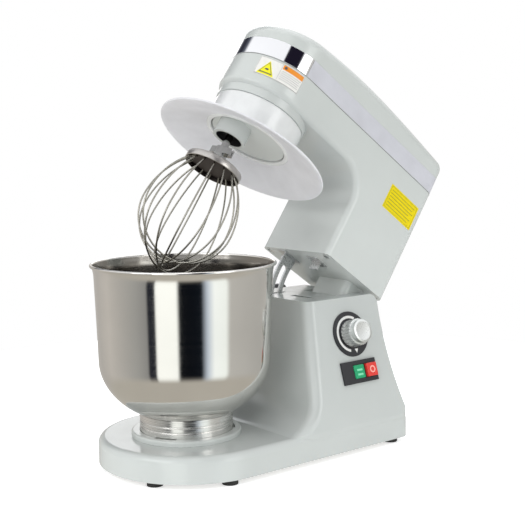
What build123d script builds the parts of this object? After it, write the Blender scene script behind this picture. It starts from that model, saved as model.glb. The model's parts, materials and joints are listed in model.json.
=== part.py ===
from build123d import *

import os
from math import acos, atan, cos, degrees, pi, radians, sin, tan

# A tilt-head planetary mixer, modelled with its head raised. Millimetres, +Z up, the bowl at -Y,
# the controls at +X. The origin is on the ground under the middle of the machine.

# ---- Placing ---------------------------------------------------------------------------------
BOWL_Y = -148.3  # the bowl's axis
PIVOT_Y = 262.0  # the hinge pin, behind the bowl's axis
PIVOT_Z = 178.5
TILT = 34.9  # how far the head is raised
PAST = 5.0  # how far a cut runs on past the face it leaves by
THROUGH = 400.0  # longer than any piece

# ---- Base ------------------------------------------------------------------------------------
FOOT_HEIGHT = 7.0
FOOT_R = 10.0
HALF_WIDTH = 119.7
PLATE_NOSE_Y = 9.0  # centre of the plate's round front
PLATE_REAR_Y = 288.5
PLATE_TOP = 39.7
PLATE_EDGE_R = 9.0
PLATE_CORNER_R = 14.0
WALL = 5.0
PEDESTAL_TOP = 199.5
PEDESTAL_HALF_TOP = 67.5
PEDESTAL_FLARE_Z = 38.5  # height at which the pedestal is as wide as the plate
PEDESTAL_FRONT_TOP_Y = 147.0
PEDESTAL_FRONT_LOW_Y = 126.0
PEDESTAL_FRONT_LOW_Z = 78.0
PEDESTAL_TOE_Y = 74.0  # where the front's sweep runs out on the plate
PEDESTAL_REAR_Y = 274.5
PEDESTAL_CORNER_R = 15.0
PEDESTAL_REAR_EDGE_R = 11.0
PEDESTAL_LOW = 29.0
PEDESTAL_STEP = 0.4  # how far inside the plate's edge the pedestal stays
SIDE_SLOPE = (HALF_WIDTH - PEDESTAL_HALF_TOP) / (PEDESTAL_TOP - PEDESTAL_FLARE_Z)

# ---- Hinge and stay --------------------------------------------------------------------------
LUG_LEFT = -22.0
LUG_RIGHT = 44.0
LUG_FRONT_Y = 226.0
LUG_R = 13.0
LUG_CLEARANCE = 1.5
PIN_R = 6.0
PIN_HALF = 70.0
BUSH_R = 8.5
EAR_BOTTOM = 160.0
STAY_X = -30.0
STAY_R = 90.0
STAY_WIDTH = 22.0
STAY_THICKNESS = 3.0
STAY_SLOT = 8.8
BOLT_ANGLE = 2.0
BOLT_R = 4.0
LEVER_BOSS_X = -79.0
LEVER_BOSS_R = 11.0
CATCH_X = 22.5
CATCH_Y = 178.0

# ---- Head, in its lowered position -----------------------------------------------------------
HEAD_HALF = 67.5
HEAD_REAR_Y = 282.0
HEAD_CORNER_R = 15.0
BEAM_BOTTOM = 325.0
HEAD_TOP = 431.0
HEAD_NOSE_TOP = 419.0
NECK_FRONT_Y = 150.0
NECK_BOTTOM = 201.3
PLATE_THICKNESS = 6.0  # the plate that closes the neck
NECK_SWEEP_R = 45.0
HEAD_EDGE_R = 8.0
HEAD_TOP_EDGE_R = 14.0
HEAD_WALL = 4.5
SEAM_Z = 370.0  # joint between casting and cover, above the bowl's axis
SEAM_SLOPE = 1.0
STRIP_LOW = 1.0  # the trim strip, above the seam
STRIP_TOP = 25.5
STRIP_DEPTH = 1.2
STRIP_START_Y = -9.0  # the front plate ends and the trim strip begins
BOSS_R = 63.0
BOSS_BOTTOM = 315.0

# ---- Drive -----------------------------------------------------------------------------------
MODULE = 1.5
RING_TEETH = 60
PLANET_TEETH = 20
MAIN_TEETH = 60
PINION_TEETH = 16
PLANET_OFFSET = MODULE * (RING_TEETH - PLANET_TEETH) / 2
PLANET_ANGLE = -79.0
IDLER_Y = MODULE * (MAIN_TEETH + PINION_TEETH) / 2
MOTOR_Y = 211.0
LARGE_PULLEY_R = 50.0
SMALL_PULLEY_R = 12.0
PULLEY_FLANGE = 2.6
FLANGE_WIDTH = 1.5
BELT_THICKNESS = 2.2
BELT_GAP = 0.3
SHAFT_FIT = 0.05
MAIN_SHAFT_R = 7.5
PLANET_SHAFT_R = 5.0
IDLER_SHAFT_R = 6.0
MOTOR_SHAFT_R = 5.0
CARRIER_FACE = 280.7
CARRIER_TOP = 285.5
CARRIER_R = 51.7
PLANET_BOSS_R = 22.0
PLANET_BOSS_BOTTOM = 260.0
PLANET_BUSH_Z = 270.0
PLANET_BUSH_R = 9.0
RING_GEAR_R = 55.3
RING_GEAR_Z = 286.0
RING_GEAR_TOP = 297.5
BEARING_R = 17.5
BEARING_WIDTH = 11.0
LOW_BEARING_Z = 303.0
HIGH_BEARING_Z = 317.0
MAIN_GEAR_Z = 337.0
MAIN_GEAR_TOP = 347.0
BRIDGE_Z = 351.0
BRIDGE_THICKNESS = 6.0
PULLEY_Z = 366.0
PULLEY_TOP = 382.0
MOTOR_R = 46.0
MOTOR_BOTTOM = 214.0
MOTOR_TOP = 318.0
FLANGE_THICKNESS = 6.0
MOTOR_WALL = 3.0
MOTOR_BEARING_R = 11.0
STATOR_BOTTOM = 236.0
STATOR_TOP = 296.0
STATOR_BORE_R = 31.0

# ---- Bowl and whisk --------------------------------------------------------------------------
RIM_R = 117.5
RIM_Z = 257.0
RIM_BEAD_R = 2.0
BOWL_SHOULDER_Z = 242.0
BOWL_TOP_R = 112.5
BOWL_LOW_R = 109.1
BOWL_DISH_Z = 138.0
BOWL_DISH_DEPTH = 82.0
BOWL_WALL = 1.4
FOOT_RING_R = 59.3
FOOT_RING_BOTTOM = 42.2
FOOT_RING_WALL = 2.8
SEAT_R = 70.0
SEAT_TOP = 46.2
SEAT_FLOOR = 42.0
BAYONET_R = 61.8
BAYONET_ANGLE = 24.0
BAYONET_START = 17.0
NOTCH_START = 45.0
SEAT_GAP = 0.4
GUARD_BOTTOM = 259.8
GUARD_MIDDLE = 278.6  # how high the guard has risen where it meets the collar
GUARD_THICKNESS = 2.5
GUARD_R = 117.0
GUARD_LIP = 3.0  # flat edges of the guard, outside and inside
COLLAR_R = 61.5
COLLAR_BORE_R = 53.0
COLLAR_NOSE_R = 59.5  # the collar's lower end, passed through the guard
COLLAR_BOTTOM = 278.2
WHISK_CAP_Z = 212.3
WHISK_CAP_R = 38.2
WHISK_BOTTOM = 67.5
WHISK_R = 62.0
WHISK_LOOPS = 8
WHISK_LOOP_STEP = 2.5
WHISK_WIRE_R = 1.1
WHISK_ROOT_R = 29.2
WHISK_PLATE_Z = 216.5

# ---- Controls --------------------------------------------------------------------------------
DIAL_Y = 210.5
DIAL_Z = 152.1
DIAL_R = 30.5
DIAL_THICKNESS = 1.2
KNOB_R = 18.0
KNOB_CAP_R = 15.6
KNOB_HEIGHT = 26.0
KNOB_RIBS = 24
BUSHING_R = 5.0
SPINDLE_R = 3.0
SWITCH_Y = 211.5
SWITCH_Z = 103.5
SWITCH_WIDTH = 62.0
SWITCH_HEIGHT = 30.0
SWITCH_DEPTH = 24.0
SWITCH_FACE = 2.5
WELL_DEPTH = 14.0
BUTTON_SIZE = 18.0
BUTTON_GAP = 0.4
START_HEIGHT = 4.0  # how far the buttons stand out
STOP_HEIGHT = 7.0
START_X = -1.5  # the buttons, along the switch plate
STOP_X = 19.0

# ---- Fasteners and inlet ---------------------------------------------------------------------
SCREW_R = 2.0
SCREW_HEAD_R = 4.0
SCREW_HEAD = 2.0
COVER_SHEET = 1.5
SEAT_SCREW_RADIUS = 30.0
SEAT_SCREW_BOTTOM = 32.0
FOOT_SCREW_LENGTH = 17.0
GLAND_X = -60.0
GLAND_Z = 24.0
GLAND_R = 8.0

# Planes. GROUND has the bowl's axis as its origin. HEAD is the same plane carried up with the
# head, so a height above HEAD is the height above the ground once the head is lowered.
GROUND = Plane((0, BOWL_Y, 0))
SIDE = Plane(origin=GROUND.origin, x_dir=(0, 1, 0), z_dir=(1, 0, 0))
FRONT = Plane(origin=GROUND.origin, x_dir=(1, 0, 0), z_dir=(0, -1, 0))
LIFT = Pos(0, BOWL_Y + PIVOT_Y, PIVOT_Z) * Rot(-TILT, 0, 0) * Pos(0, -PIVOT_Y, -PIVOT_Z)
HEAD = Plane(LIFT)
HEAD_SIDE = Plane(origin=HEAD.origin, x_dir=HEAD.y_dir, z_dir=HEAD.x_dir)
HEAD_FRONT = Plane(origin=HEAD.origin, x_dir=HEAD.x_dir, z_dir=-HEAD.y_dir)
SEAM = Plane(LIFT * Pos(0, 0, SEAM_Z) * Rot(SEAM_SLOPE, 0, 0))
HEAD_UP = Axis(HEAD.origin, HEAD.z_dir)
HEAD_BACK = Axis(HEAD.origin, HEAD.y_dir)
FLARE = degrees(atan(SIDE_SLOPE))


def beside(plane, x, y):
    """The same plane with its origin moved within itself."""
    return Plane(plane.location * Pos(x, y, 0))


def turned(plane, angle, radius):
    """A plane standing at an angle and a radius about the plane's own axis."""
    return Plane(plane.location * Rot(0, 0, angle) * Pos(radius, 0, 0))


def across(plane, y, z):
    """A plane square to the machine's width, at a depth and a height of a side plane."""
    return Plane(origin=plane.from_local_coords((y, z, 0)), x_dir=plane.x_dir, z_dir=plane.z_dir)


def panel(y, z):
    """A plane on the pedestal's sloping right side, its own y pointing up the slope."""
    x = PEDESTAL_HALF_TOP + (PEDESTAL_TOP - z) * SIDE_SLOPE
    normal = (cos(radians(FLARE)), 0, sin(radians(FLARE)))
    return Plane(origin=(x, BOWL_Y + y, z), x_dir=(0, 1, 0), z_dir=normal)


BOLT_Y = PIVOT_Y - STAY_R * cos(radians(BOLT_ANGLE))
BOLT_Z = PIVOT_Z + STAY_R * sin(radians(BOLT_ANGLE))
BOLT_AXIS = across(SIDE, BOLT_Y, BOLT_Z)
PIN_AXIS = across(SIDE, PIVOT_Y, PIVOT_Z)
REAR = Plane(
    origin=(GLAND_X, BOWL_Y + PLATE_REAR_Y, GLAND_Z), x_dir=(-1, 0, 0), z_dir=(0, 1, 0)
)
PLANET = turned(HEAD, PLANET_ANGLE, PLANET_OFFSET)
IDLER = beside(HEAD, 0, IDLER_Y)
MOTOR = beside(HEAD, 0, MOTOR_Y)
DIAL = panel(DIAL_Y, DIAL_Z)
SWITCH = panel(SWITCH_Y, SWITCH_Z)
FEET = [
    beside(GROUND, side * x, y)
    for side in (-1, 1)
    for x, y in ((50.0, -82.0), (104.0, -10.0), (103.0, 266.0))
]
SEAT_SCREWS = [turned(GROUND, 90 + 120 * turn, SEAT_SCREW_RADIUS) for turn in range(3)]
PLATE_SCREWS = [beside(HEAD, x, y) for x in (-56, 56) for y in (161, 271)]
STAY_SCREWS = [beside(HEAD, x, y) for x, y in ((-30.0, 160.0), (-26.0, 184.0))]
MOTOR_SCREWS = [beside(HEAD, x, y) for x in (-57, 57) for y in (190, 232)]
BRIDGE_POSTS = [beside(HEAD, x, y) for x in (-54, 54) for y in (12, 88)]


def tube(plane, bottom, top, outer, inner=0.0, mode=Mode.ADD):
    """A round bar, or a tube, standing on a plane between two heights."""
    with BuildSketch(plane.offset(bottom)) as section:
        Circle(outer)
        if inner:
            Circle(inner, mode=Mode.SUBTRACT)
    extrude(section.sketch, amount=top - bottom, mode=mode)


def block(plane, bottom, top, width, depth, mode=Mode.ADD, corner=0.0):
    """A bar of rectangular section standing on a plane between two heights."""
    with BuildSketch(plane.offset(bottom)) as section:
        if corner:
            RectangleRounded(width, depth, corner)
        else:
            Rectangle(width, depth)
    extrude(section.sketch, amount=top - bottom, mode=mode)


def screw(plane, seat, length, up=1):
    """A plain screw: its head stands on the seat, its shank runs the other way."""
    tube(plane, min(seat, seat + up * SCREW_HEAD), max(seat, seat + up * SCREW_HEAD), SCREW_HEAD_R)
    tube(plane, min(seat, seat - up * length), max(seat, seat - up * length), SCREW_R)


def gear_section(teeth, turn=0.0, bore=0.0, backlash=0.15, addendum=1.0, dedendum=1.25):
    """A gear's section with 20 degree involute flanks, one tooth along +x turned by turn."""
    pitch = MODULE * teeth / 2
    base = pitch * cos(radians(20))
    tip = pitch + addendum * MODULE
    root = pitch - dedendum * MODULE
    half_tooth = pi / 2 / teeth - backlash / 2 / pitch + tan(radians(20)) - radians(20)

    def half_angle(radius):
        """Half the tooth's angle at a radius."""
        if radius <= base:
            return half_tooth
        pressure = acos(base / radius)
        return half_tooth - tan(pressure) + pressure

    radii = [root, max(root, base) + 0.05, pitch, tip]
    points = []
    for tooth in range(teeth):
        middle = radians(turn) + 2 * pi * tooth / teeth
        for radius in radii:
            angle = middle - half_angle(radius)
            points.append((radius * cos(angle), radius * sin(angle)))
        for radius in reversed(radii):
            angle = middle + half_angle(radius)
            points.append((radius * cos(angle), radius * sin(angle)))
    with BuildSketch(mode=Mode.PRIVATE) as section:
        with BuildLine():
            Polyline(*points, close=True)
        make_face()
        if bore:
            Circle(bore, mode=Mode.SUBTRACT)
    return section.sketch


def plan(half, nose, rear, corner):
    """A plan with a half circle in front and a square back with rounded corners."""
    with BuildSketch(mode=Mode.PRIVATE) as outline:
        with BuildLine():
            Line((half, nose), (half, rear))
            Line((half, rear), (-half, rear))
            Line((-half, rear), (-half, nose))
            ThreePointArc((-half, nose), (0, nose - half), (half, nose))
        make_face()
        fillet(outline.vertices().group_by(Axis.Y)[-1], corner)
    return outline.sketch


def plate_plan(inset=0.0):
    """The base plate's plan."""
    corner = PLATE_CORNER_R - inset
    return plan(HALF_WIDTH - inset, PLATE_NOSE_Y, PLATE_REAR_Y - inset, corner)


def head_plan(inset=0.0):
    """The head's plan, its nose round about the bowl's axis."""
    return plan(HEAD_HALF - inset, 0, HEAD_REAR_Y - inset, HEAD_CORNER_R - inset)


def pedestal_profile():
    """The pedestal's outline seen from the side, its front sweeping out on to the plate."""
    rear_low = (PLATE_REAR_Y - 1.0, PEDESTAL_LOW)
    toe = (PEDESTAL_TOE_Y, PLATE_TOP - 1)
    with BuildSketch(mode=Mode.PRIVATE) as outline:
        with BuildLine():
            front = Line(
                (PEDESTAL_FRONT_TOP_Y, PEDESTAL_TOP), (PEDESTAL_FRONT_LOW_Y, PEDESTAL_FRONT_LOW_Z)
            )
            sweep = [front @ 1, (112.0, 56.5), (100.0, 48.5), toe]
            Spline(*sweep, tangents=[front % 1, (-1, -0.08)])
            Polyline(toe, (PEDESTAL_TOE_Y, PEDESTAL_LOW), rear_low)
            ThreePointArc(rear_low, (271.0, 125.0), (PEDESTAL_REAR_Y, PEDESTAL_TOP))
            Line((PEDESTAL_REAR_Y, PEDESTAL_TOP), front @ 0)
        make_face()
    return outline.sketch


def cavity_profile():
    """The pedestal's hollow seen from the side."""
    front_y = PEDESTAL_FRONT_LOW_Y + WALL + 1
    floor_z = FOOT_HEIGHT + WALL
    ceiling_z = PEDESTAL_TOP - WALL
    with BuildSketch(mode=Mode.PRIVATE) as outline:
        with BuildLine():
            Polyline(
                (PEDESTAL_FRONT_TOP_Y + WALL, ceiling_z),
                (front_y, PEDESTAL_FRONT_LOW_Z),
                (front_y, floor_z),
                (PLATE_REAR_Y - 8, floor_z),
                (PEDESTAL_REAR_Y - 9, 125.0),
                (PEDESTAL_REAR_Y - 7, ceiling_z),
                close=True,
            )
        make_face()
    return outline.sketch


def pedestal_width(inset=0.0):
    """The pedestal's outline seen from the front, narrower at the top."""
    low = PEDESTAL_LOW - 2
    high = PEDESTAL_TOP + 2
    half_low = HALF_WIDTH + (PEDESTAL_FLARE_Z - low) * SIDE_SLOPE - inset
    half_high = HALF_WIDTH + (PEDESTAL_FLARE_Z - high) * SIDE_SLOPE - inset
    with BuildSketch(mode=Mode.PRIVATE) as outline:
        with BuildLine():
            Polyline(
                (-half_low, low), (half_low, low), (half_high, high), (-half_high, high), close=True
            )
        make_face()
    return outline.sketch


def pedestal_plan():
    """The widest the pedestal may be: the plate's width, drawn in towards the toe."""
    half = HALF_WIDTH - PEDESTAL_STEP
    rear = PLATE_REAR_Y - PEDESTAL_STEP
    front = PEDESTAL_TOE_Y - 4
    side_start = PEDESTAL_TOE_Y + 46
    with BuildSketch(mode=Mode.PRIVATE) as outline:
        with BuildLine():
            Line((0, rear), (half, rear))
            Line((half, rear), (half, side_start))
            toe = Spline(
                (half, side_start),
                (half - PLATE_EDGE_R - 1, front),
                tangents=[(0, -1), (-0.5, -1)],
            )
            Polyline(toe @ 1, (0, front), (0, rear))
        make_face()
        mirror(about=Plane.YZ)
        corners = outline.vertices().group_by(Axis.Y)[-1].filter_by(lambda corner: abs(corner.X) > 1)
        fillet(corners, PLATE_CORNER_R)
    return outline.sketch


def casting_profile(inset=0.0, bottom=NECK_BOTTOM):
    """The lower half of the head seen from the side: beam, sweep and neck."""
    floor = BEAM_BOTTOM + inset
    neck = NECK_FRONT_Y + inset
    sweep_y = NECK_FRONT_Y - NECK_SWEEP_R
    sweep_z = BEAM_BOTTOM - NECK_SWEEP_R
    middle = (NECK_SWEEP_R + inset) * cos(radians(45))
    front = -HEAD_HALF - 10
    rear = HEAD_REAR_Y + 10
    high = SEAM_Z + 20
    with BuildSketch(mode=Mode.PRIVATE) as outline:
        with BuildLine():
            Line((front, floor), (sweep_y, floor))
            ThreePointArc((sweep_y, floor), (sweep_y + middle, sweep_z + middle), (neck, sweep_z))
            Polyline((neck, sweep_z), (neck, bottom), (rear, bottom), (rear, high))
            Polyline((rear, high), (front, high), (front, floor))
        make_face()
    return outline.sketch


def cover_profile(inset=0.0):
    """The head's cover seen from the side, its top falling gently towards the nose."""
    front = -HEAD_HALF - 10
    rear = HEAD_REAR_Y + 10
    low = SEAM_Z - 20
    with BuildSketch(mode=Mode.PRIVATE) as outline:
        with BuildLine():
            top = Spline(
                (front, HEAD_NOSE_TOP - 3 - inset),
                (-14.0, HEAD_TOP - 8 - inset),
                (60.0, HEAD_TOP - 1 - inset),
                (170.0, HEAD_TOP - inset),
                (rear, HEAD_TOP - 6 - inset),
            )
            Polyline(top @ 1, (rear, low), (front, low), top @ 0)
        make_face()
    return outline.sketch


def stay_slot(half_width, extra):
    """The stay's arc about the hinge, from the pin's place when lowered to its place raised."""
    start = 180 - BOLT_ANGLE - extra
    with BuildSketch(mode=Mode.PRIVATE) as outline:
        arc = CenterArc((PIVOT_Y, PIVOT_Z), STAY_R, start, TILT + 2 * extra, mode=Mode.PRIVATE)
        SlotArc(arc, 2 * half_width)
    return outline.sketch


# ---- Base casting ----------------------------------------------------------------------------
LUG_X = (LUG_LEFT + LUG_RIGHT) / 2
LUG_WIDTH = LUG_RIGHT - LUG_LEFT
EAR_REACH = 90.0
EAR_DEPTH = 30.0
POCKET_Y = 252.0
POCKET_DEPTH = 62.0
SLOT_FLOOR = 185.0  # bottom of the slots for the stay and the catch
SLOT_WIDTH = 8.0
FOOT_BOSS_R = 8.0
FOOT_BOSS_TOP = 72.0
LEVER_BOSS_ROOT_X = -60.0
OPENING_DEPTH = 20.0  # how far the dial's and the cable's holes are cut inwards
SWITCH_RIM = 2.5  # how much wider the switch's plate is than its body
RIGHT_EAR = LUG_RIGHT + LUG_CLEARANCE
LEFT_EAR = LUG_LEFT - LUG_CLEARANCE

with BuildPart() as pedestal:
    extrude(SIDE * pedestal_profile(), amount=HALF_WIDTH + PAST, both=True)
    extrude(FRONT * pedestal_width(), amount=THROUGH, both=True, mode=Mode.INTERSECT)
    front_corners = (
        pedestal.edges()
        .filter_by(GeomType.LINE)
        .filter_by(lambda edge: edge.length > 80 and edge.center().Y < GROUND.origin.Y + 150)
        .filter_by(lambda edge: abs(edge.tangent_at(0.5).Z) > 0.5)
    )
    fillet(front_corners, PEDESTAL_CORNER_R)
    fillet(pedestal.edges().group_by(Axis.Z)[-1].sort_by(Axis.Y)[-1], PEDESTAL_REAR_EDGE_R)
    extrude(GROUND * pedestal_plan(), amount=THROUGH, mode=Mode.INTERSECT)

with BuildPart() as hollow:
    extrude(SIDE * cavity_profile(), amount=HALF_WIDTH - WALL - 1, both=True)
    extrude(FRONT * pedestal_width(WALL), amount=THROUGH, both=True, mode=Mode.INTERSECT)
    extrude(
        GROUND.offset(FOOT_HEIGHT) * plate_plan(WALL), amount=PLATE_TOP - WALL - FOOT_HEIGHT
    )
    for low_x, high_x in ((RIGHT_EAR, EAR_REACH), (-EAR_REACH, LEFT_EAR)):
        ear = beside(GROUND, (low_x + high_x) / 2, PIVOT_Y)
        block(ear, EAR_BOTTOM, PEDESTAL_TOP, high_x - low_x, EAR_DEPTH, mode=Mode.SUBTRACT)
    for foot in FEET:
        tube(foot, FOOT_HEIGHT + COVER_SHEET, FOOT_BOSS_TOP, FOOT_BOSS_R, mode=Mode.SUBTRACT)

with BuildPart() as base_casting:
    extrude(GROUND.offset(FOOT_HEIGHT) * plate_plan(), amount=PLATE_TOP - FOOT_HEIGHT)
    fillet(base_casting.faces().sort_by(Axis.Z)[-1].edges(), PLATE_EDGE_R)
    add(pedestal.part)
    add(hollow.part, mode=Mode.SUBTRACT)
    tube(BOLT_AXIS, LEVER_BOSS_X, LEVER_BOSS_ROOT_X - 6, LEVER_BOSS_R)
    tube(BOLT_AXIS, LEVER_BOSS_X - 1, LEVER_BOSS_ROOT_X, BOLT_R + SHAFT_FIT, mode=Mode.SUBTRACT)
    slots_top = PEDESTAL_TOP + PAST
    pocket = beside(GROUND, LUG_X, POCKET_Y)
    pocket_width = LUG_WIDTH + 2 * LUG_CLEARANCE
    block(pocket, EAR_BOTTOM, slots_top, pocket_width, POCKET_DEPTH, mode=Mode.SUBTRACT)
    for x, y, width, depth in ((STAY_X, 174, SLOT_WIDTH, 38), (CATCH_X, CATCH_Y, 41, SLOT_WIDTH)):
        slot_place = beside(GROUND, x, y)
        corner = SLOT_WIDTH / 2 - 0.1
        block(slot_place, SLOT_FLOOR, slots_top, width, depth, mode=Mode.SUBTRACT, corner=corner)
    tube(PIN_AXIS, -PIN_HALF, PIN_HALF, PIN_R, mode=Mode.SUBTRACT)
    tube(DIAL, -OPENING_DEPTH, PAST, BUSHING_R, mode=Mode.SUBTRACT)
    opening_width = SWITCH_WIDTH - SWITCH_RIM
    opening_height = SWITCH_HEIGHT - SWITCH_RIM
    block(SWITCH, -12, PAST, opening_width, opening_height, mode=Mode.SUBTRACT)
    tube(REAR, -OPENING_DEPTH, PAST, GLAND_R, mode=Mode.SUBTRACT)
    for foot in FEET:
        tube(foot, 0, FOOT_SCREW_LENGTH + PAST, SCREW_R, mode=Mode.SUBTRACT)
    for place in SEAT_SCREWS:
        tube(place, SEAT_SCREW_BOTTOM, PLATE_TOP + PAST, SCREW_R, mode=Mode.SUBTRACT)

# ---- Base cover and feet ---------------------------------------------------------------------
BOARD = beside(GROUND, -20, 215)
BOARD_Z = 30.0
BOARD_THICKNESS = 1.6
BOARD_POST_R = 3.5
VENTS = 7
VENT_FRONT_Y = 150.0
VENT_STEP = 12.0

with BuildPart() as base_bottom_cover:
    extrude(GROUND.offset(FOOT_HEIGHT) * plate_plan(WALL + 0.5), amount=COVER_SHEET)
    for foot in FEET:
        tube(foot, 0, FOOT_HEIGHT + PAST, SCREW_R, mode=Mode.SUBTRACT)
    for slot in range(VENTS):
        vent = beside(GROUND, 0, VENT_FRONT_Y + VENT_STEP * slot)
        block(vent, 0, FOOT_HEIGHT + PAST, 60, 4, mode=Mode.SUBTRACT, corner=1.9)
    for x in (-40, 40):
        for y in (-30, 30):
            tube(beside(BOARD, x, y), FOOT_HEIGHT + COVER_SHEET, BOARD_Z, BOARD_POST_R)

with BuildPart() as rubber_feet:
    for foot in FEET:
        tube(foot, 0, FOOT_HEIGHT, FOOT_R, SCREW_HEAD_R + 0.5)
        tube(foot, 3, FOOT_HEIGHT, SCREW_HEAD_R + 0.5, SCREW_R)

with BuildPart() as foot_screws:
    for foot in FEET:
        screw(foot, 3, FOOT_SCREW_LENGTH, up=-1)

# ---- Bowl seat -------------------------------------------------------------------------------
with BuildPart() as bowl_seat:
    tube(GROUND, PLATE_TOP, SEAT_TOP, SEAT_R)
    fillet(bowl_seat.edges().filter_by(GeomType.CIRCLE).sort_by(Axis.Z)[-1], 2.5)
    tube(GROUND, SEAT_FLOOR, SEAT_TOP + PAST, FOOT_RING_R + SEAT_GAP, mode=Mode.SUBTRACT)
    tube(GROUND, SEAT_FLOOR, SEAT_TOP - 1.2, BAYONET_R + SEAT_GAP, mode=Mode.SUBTRACT)
    with BuildSketch(GROUND.offset(SEAT_FLOOR)) as notches:
        for third in range(3):
            with BuildLine():
                start = 120 * third + NOTCH_START
                arc = CenterArc((0, 0), BAYONET_R + SEAT_GAP, start, BAYONET_ANGLE + 4)
                Line((0, 0), arc @ 0)
                Line(arc @ 1, (0, 0))
            make_face()
    extrude(notches.sketch, amount=SEAT_TOP, mode=Mode.SUBTRACT)
    for place in SEAT_SCREWS:
        tube(place, SEAT_SCREW_BOTTOM, SEAT_TOP, SCREW_R, mode=Mode.SUBTRACT)

with BuildPart() as seat_screws:
    for place in SEAT_SCREWS:
        screw(place, SEAT_FLOOR, SEAT_FLOOR - SEAT_SCREW_BOTTOM)

# ---- Controls held in the base ---------------------------------------------------------------
with BuildPart() as dial_ring:
    tube(DIAL, 0, DIAL_THICKNESS, DIAL_R, BUSHING_R)

with BuildPart() as speed_control:
    back = -WALL - 0.5
    tube(DIAL, -OPENING_DEPTH, back, 12)
    tube(DIAL, back, 4, BUSHING_R)
    tube(DIAL, 2 - OPENING_DEPTH, PAST, SPINDLE_R + SHAFT_FIT, mode=Mode.SUBTRACT)

with BuildPart() as switch_housing:
    block(SWITCH, 0, SWITCH_FACE, SWITCH_WIDTH, SWITCH_HEIGHT)
    block(SWITCH, -SWITCH_DEPTH, 0, opening_width, opening_height)
    for x in (START_X, STOP_X):
        well = BUTTON_SIZE + 2 * BUTTON_GAP
        block(beside(SWITCH, x, 0), -WELL_DEPTH, PAST, well, well, mode=Mode.SUBTRACT)

with BuildPart() as control_board:
    board_top = BOARD_Z + BOARD_THICKNESS
    block(BOARD, BOARD_Z, board_top, 90, 70)
    for x, y, radius, height in ((-30, -20, 8, 26), (-30, 5, 8, 26), (5, 20, 5, 18)):
        tube(beside(BOARD, x, y), board_top, board_top + height, radius)
    block(beside(BOARD, 22, -8), board_top, board_top + 26, 22, 34)

with BuildPart() as hinge_pin:
    tube(PIN_AXIS, -PIN_HALF, PIN_HALF, PIN_R)
    chamfer(hinge_pin.edges().filter_by(GeomType.CIRCLE), 0.8)

with BuildPart() as cable_gland:
    tube(REAR, -8, 0, GLAND_R, 4)
    with BuildSketch(REAR) as nut:
        RegularPolygon(11, 6)
        Circle(4, mode=Mode.SUBTRACT)
    extrude(nut.sketch, amount=5)
    tube(REAR, 5, 12, 8.5, 4)

# ---- Head casting ----------------------------------------------------------------------------
BEARING_LIP = 4.0
SOCKET_TOP = 340.0
IDLER_SEAT_Z = 327.0
IDLER_SEAT_TOP = 335.0
IDLER_BOSS_R = 18.0
IDLER_BEARING_R = 14.0
POST_R = 5.0
SCREW_BLOCK = 16.0


def runs_on(edge):
    """Whether an edge is round or runs along the head, not straight across it."""
    return edge.geom_type == GeomType.CIRCLE or abs(edge.tangent_at(0.5).X) < 0.5


with BuildPart() as head_casting:
    extrude(HEAD_SIDE * casting_profile(), amount=HEAD_HALF, both=True)
    extrude(HEAD.offset(NECK_BOTTOM - 5) * head_plan(), amount=250, mode=Mode.INTERSECT)
    under_edges = (
        head_casting.edges()
        .filter_by_position(HEAD_UP, NECK_BOTTOM + 5, BEAM_BOTTOM + 1)
        .filter_by_position(HEAD_BACK, -HEAD_HALF - 5, NECK_FRONT_Y + 1)
        .filter_by(runs_on)
    )
    fillet(under_edges, HEAD_EDGE_R)
    split(bisect_by=SEAM, keep=Keep.BOTTOM)
    tube(HEAD, BOSS_BOTTOM, BEAM_BOTTOM + 2, BOSS_R)

with BuildPart() as head_hollow:
    extrude(
        HEAD_SIDE * casting_profile(HEAD_WALL, NECK_BOTTOM - 1), amount=HEAD_HALF, both=True
    )
    extrude(
        HEAD.offset(NECK_BOTTOM - 5) * head_plan(HEAD_WALL), amount=250, mode=Mode.INTERSECT
    )
    for place in PLATE_SCREWS:
        low = NECK_BOTTOM + PLATE_THICKNESS
        block(place, low, low + 12, SCREW_BLOCK, SCREW_BLOCK, mode=Mode.SUBTRACT)
    for x in (-58, 58):
        rail = beside(HEAD, x, MOTOR_Y)
        block(rail, MOTOR_TOP - 14, MOTOR_TOP, SCREW_BLOCK, 76, mode=Mode.SUBTRACT)

with BuildPart() as head_shell:
    add(head_casting.part)
    add(head_hollow.part, mode=Mode.SUBTRACT)
    tube(HEAD, LOW_BEARING_Z - 1, BEAM_BOTTOM + 1, BEARING_R + 7)
    tube(IDLER, BEAM_BOTTOM + 1, IDLER_SEAT_TOP, IDLER_BOSS_R)
    tube(HEAD, LOW_BEARING_Z, SOCKET_TOP, BEARING_R, mode=Mode.SUBTRACT)
    tube(HEAD, LOW_BEARING_Z - PAST, LOW_BEARING_Z, BEARING_R - BEARING_LIP, mode=Mode.SUBTRACT)
    tube(IDLER, IDLER_SEAT_Z, SOCKET_TOP, IDLER_BEARING_R, mode=Mode.SUBTRACT)
    for place in BRIDGE_POSTS:
        tube(place, BEAM_BOTTOM + 2, BRIDGE_Z, POST_R)
        tube(place, BRIDGE_Z - 10, BRIDGE_Z, SCREW_R, mode=Mode.SUBTRACT)
    for place in PLATE_SCREWS:
        tube(place, NECK_BOTTOM, NECK_BOTTOM + 14, SCREW_R, mode=Mode.SUBTRACT)
    for place in MOTOR_SCREWS:
        tube(place, MOTOR_TOP - 10, MOTOR_TOP, SCREW_R, mode=Mode.SUBTRACT)

# ---- Head cover, strip, front plate and labels ------------------------------------------------
COVER_HEIGHT = 75.0
COVER_WALL = 4.0
STRIP_GAP = 0.4

with BuildPart() as strip_band:
    band = SEAM.offset(STRIP_LOW)
    extrude(band * head_plan(), amount=STRIP_TOP - STRIP_LOW)
    extrude(band * head_plan(STRIP_DEPTH), amount=STRIP_TOP - STRIP_LOW, mode=Mode.SUBTRACT)

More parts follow.
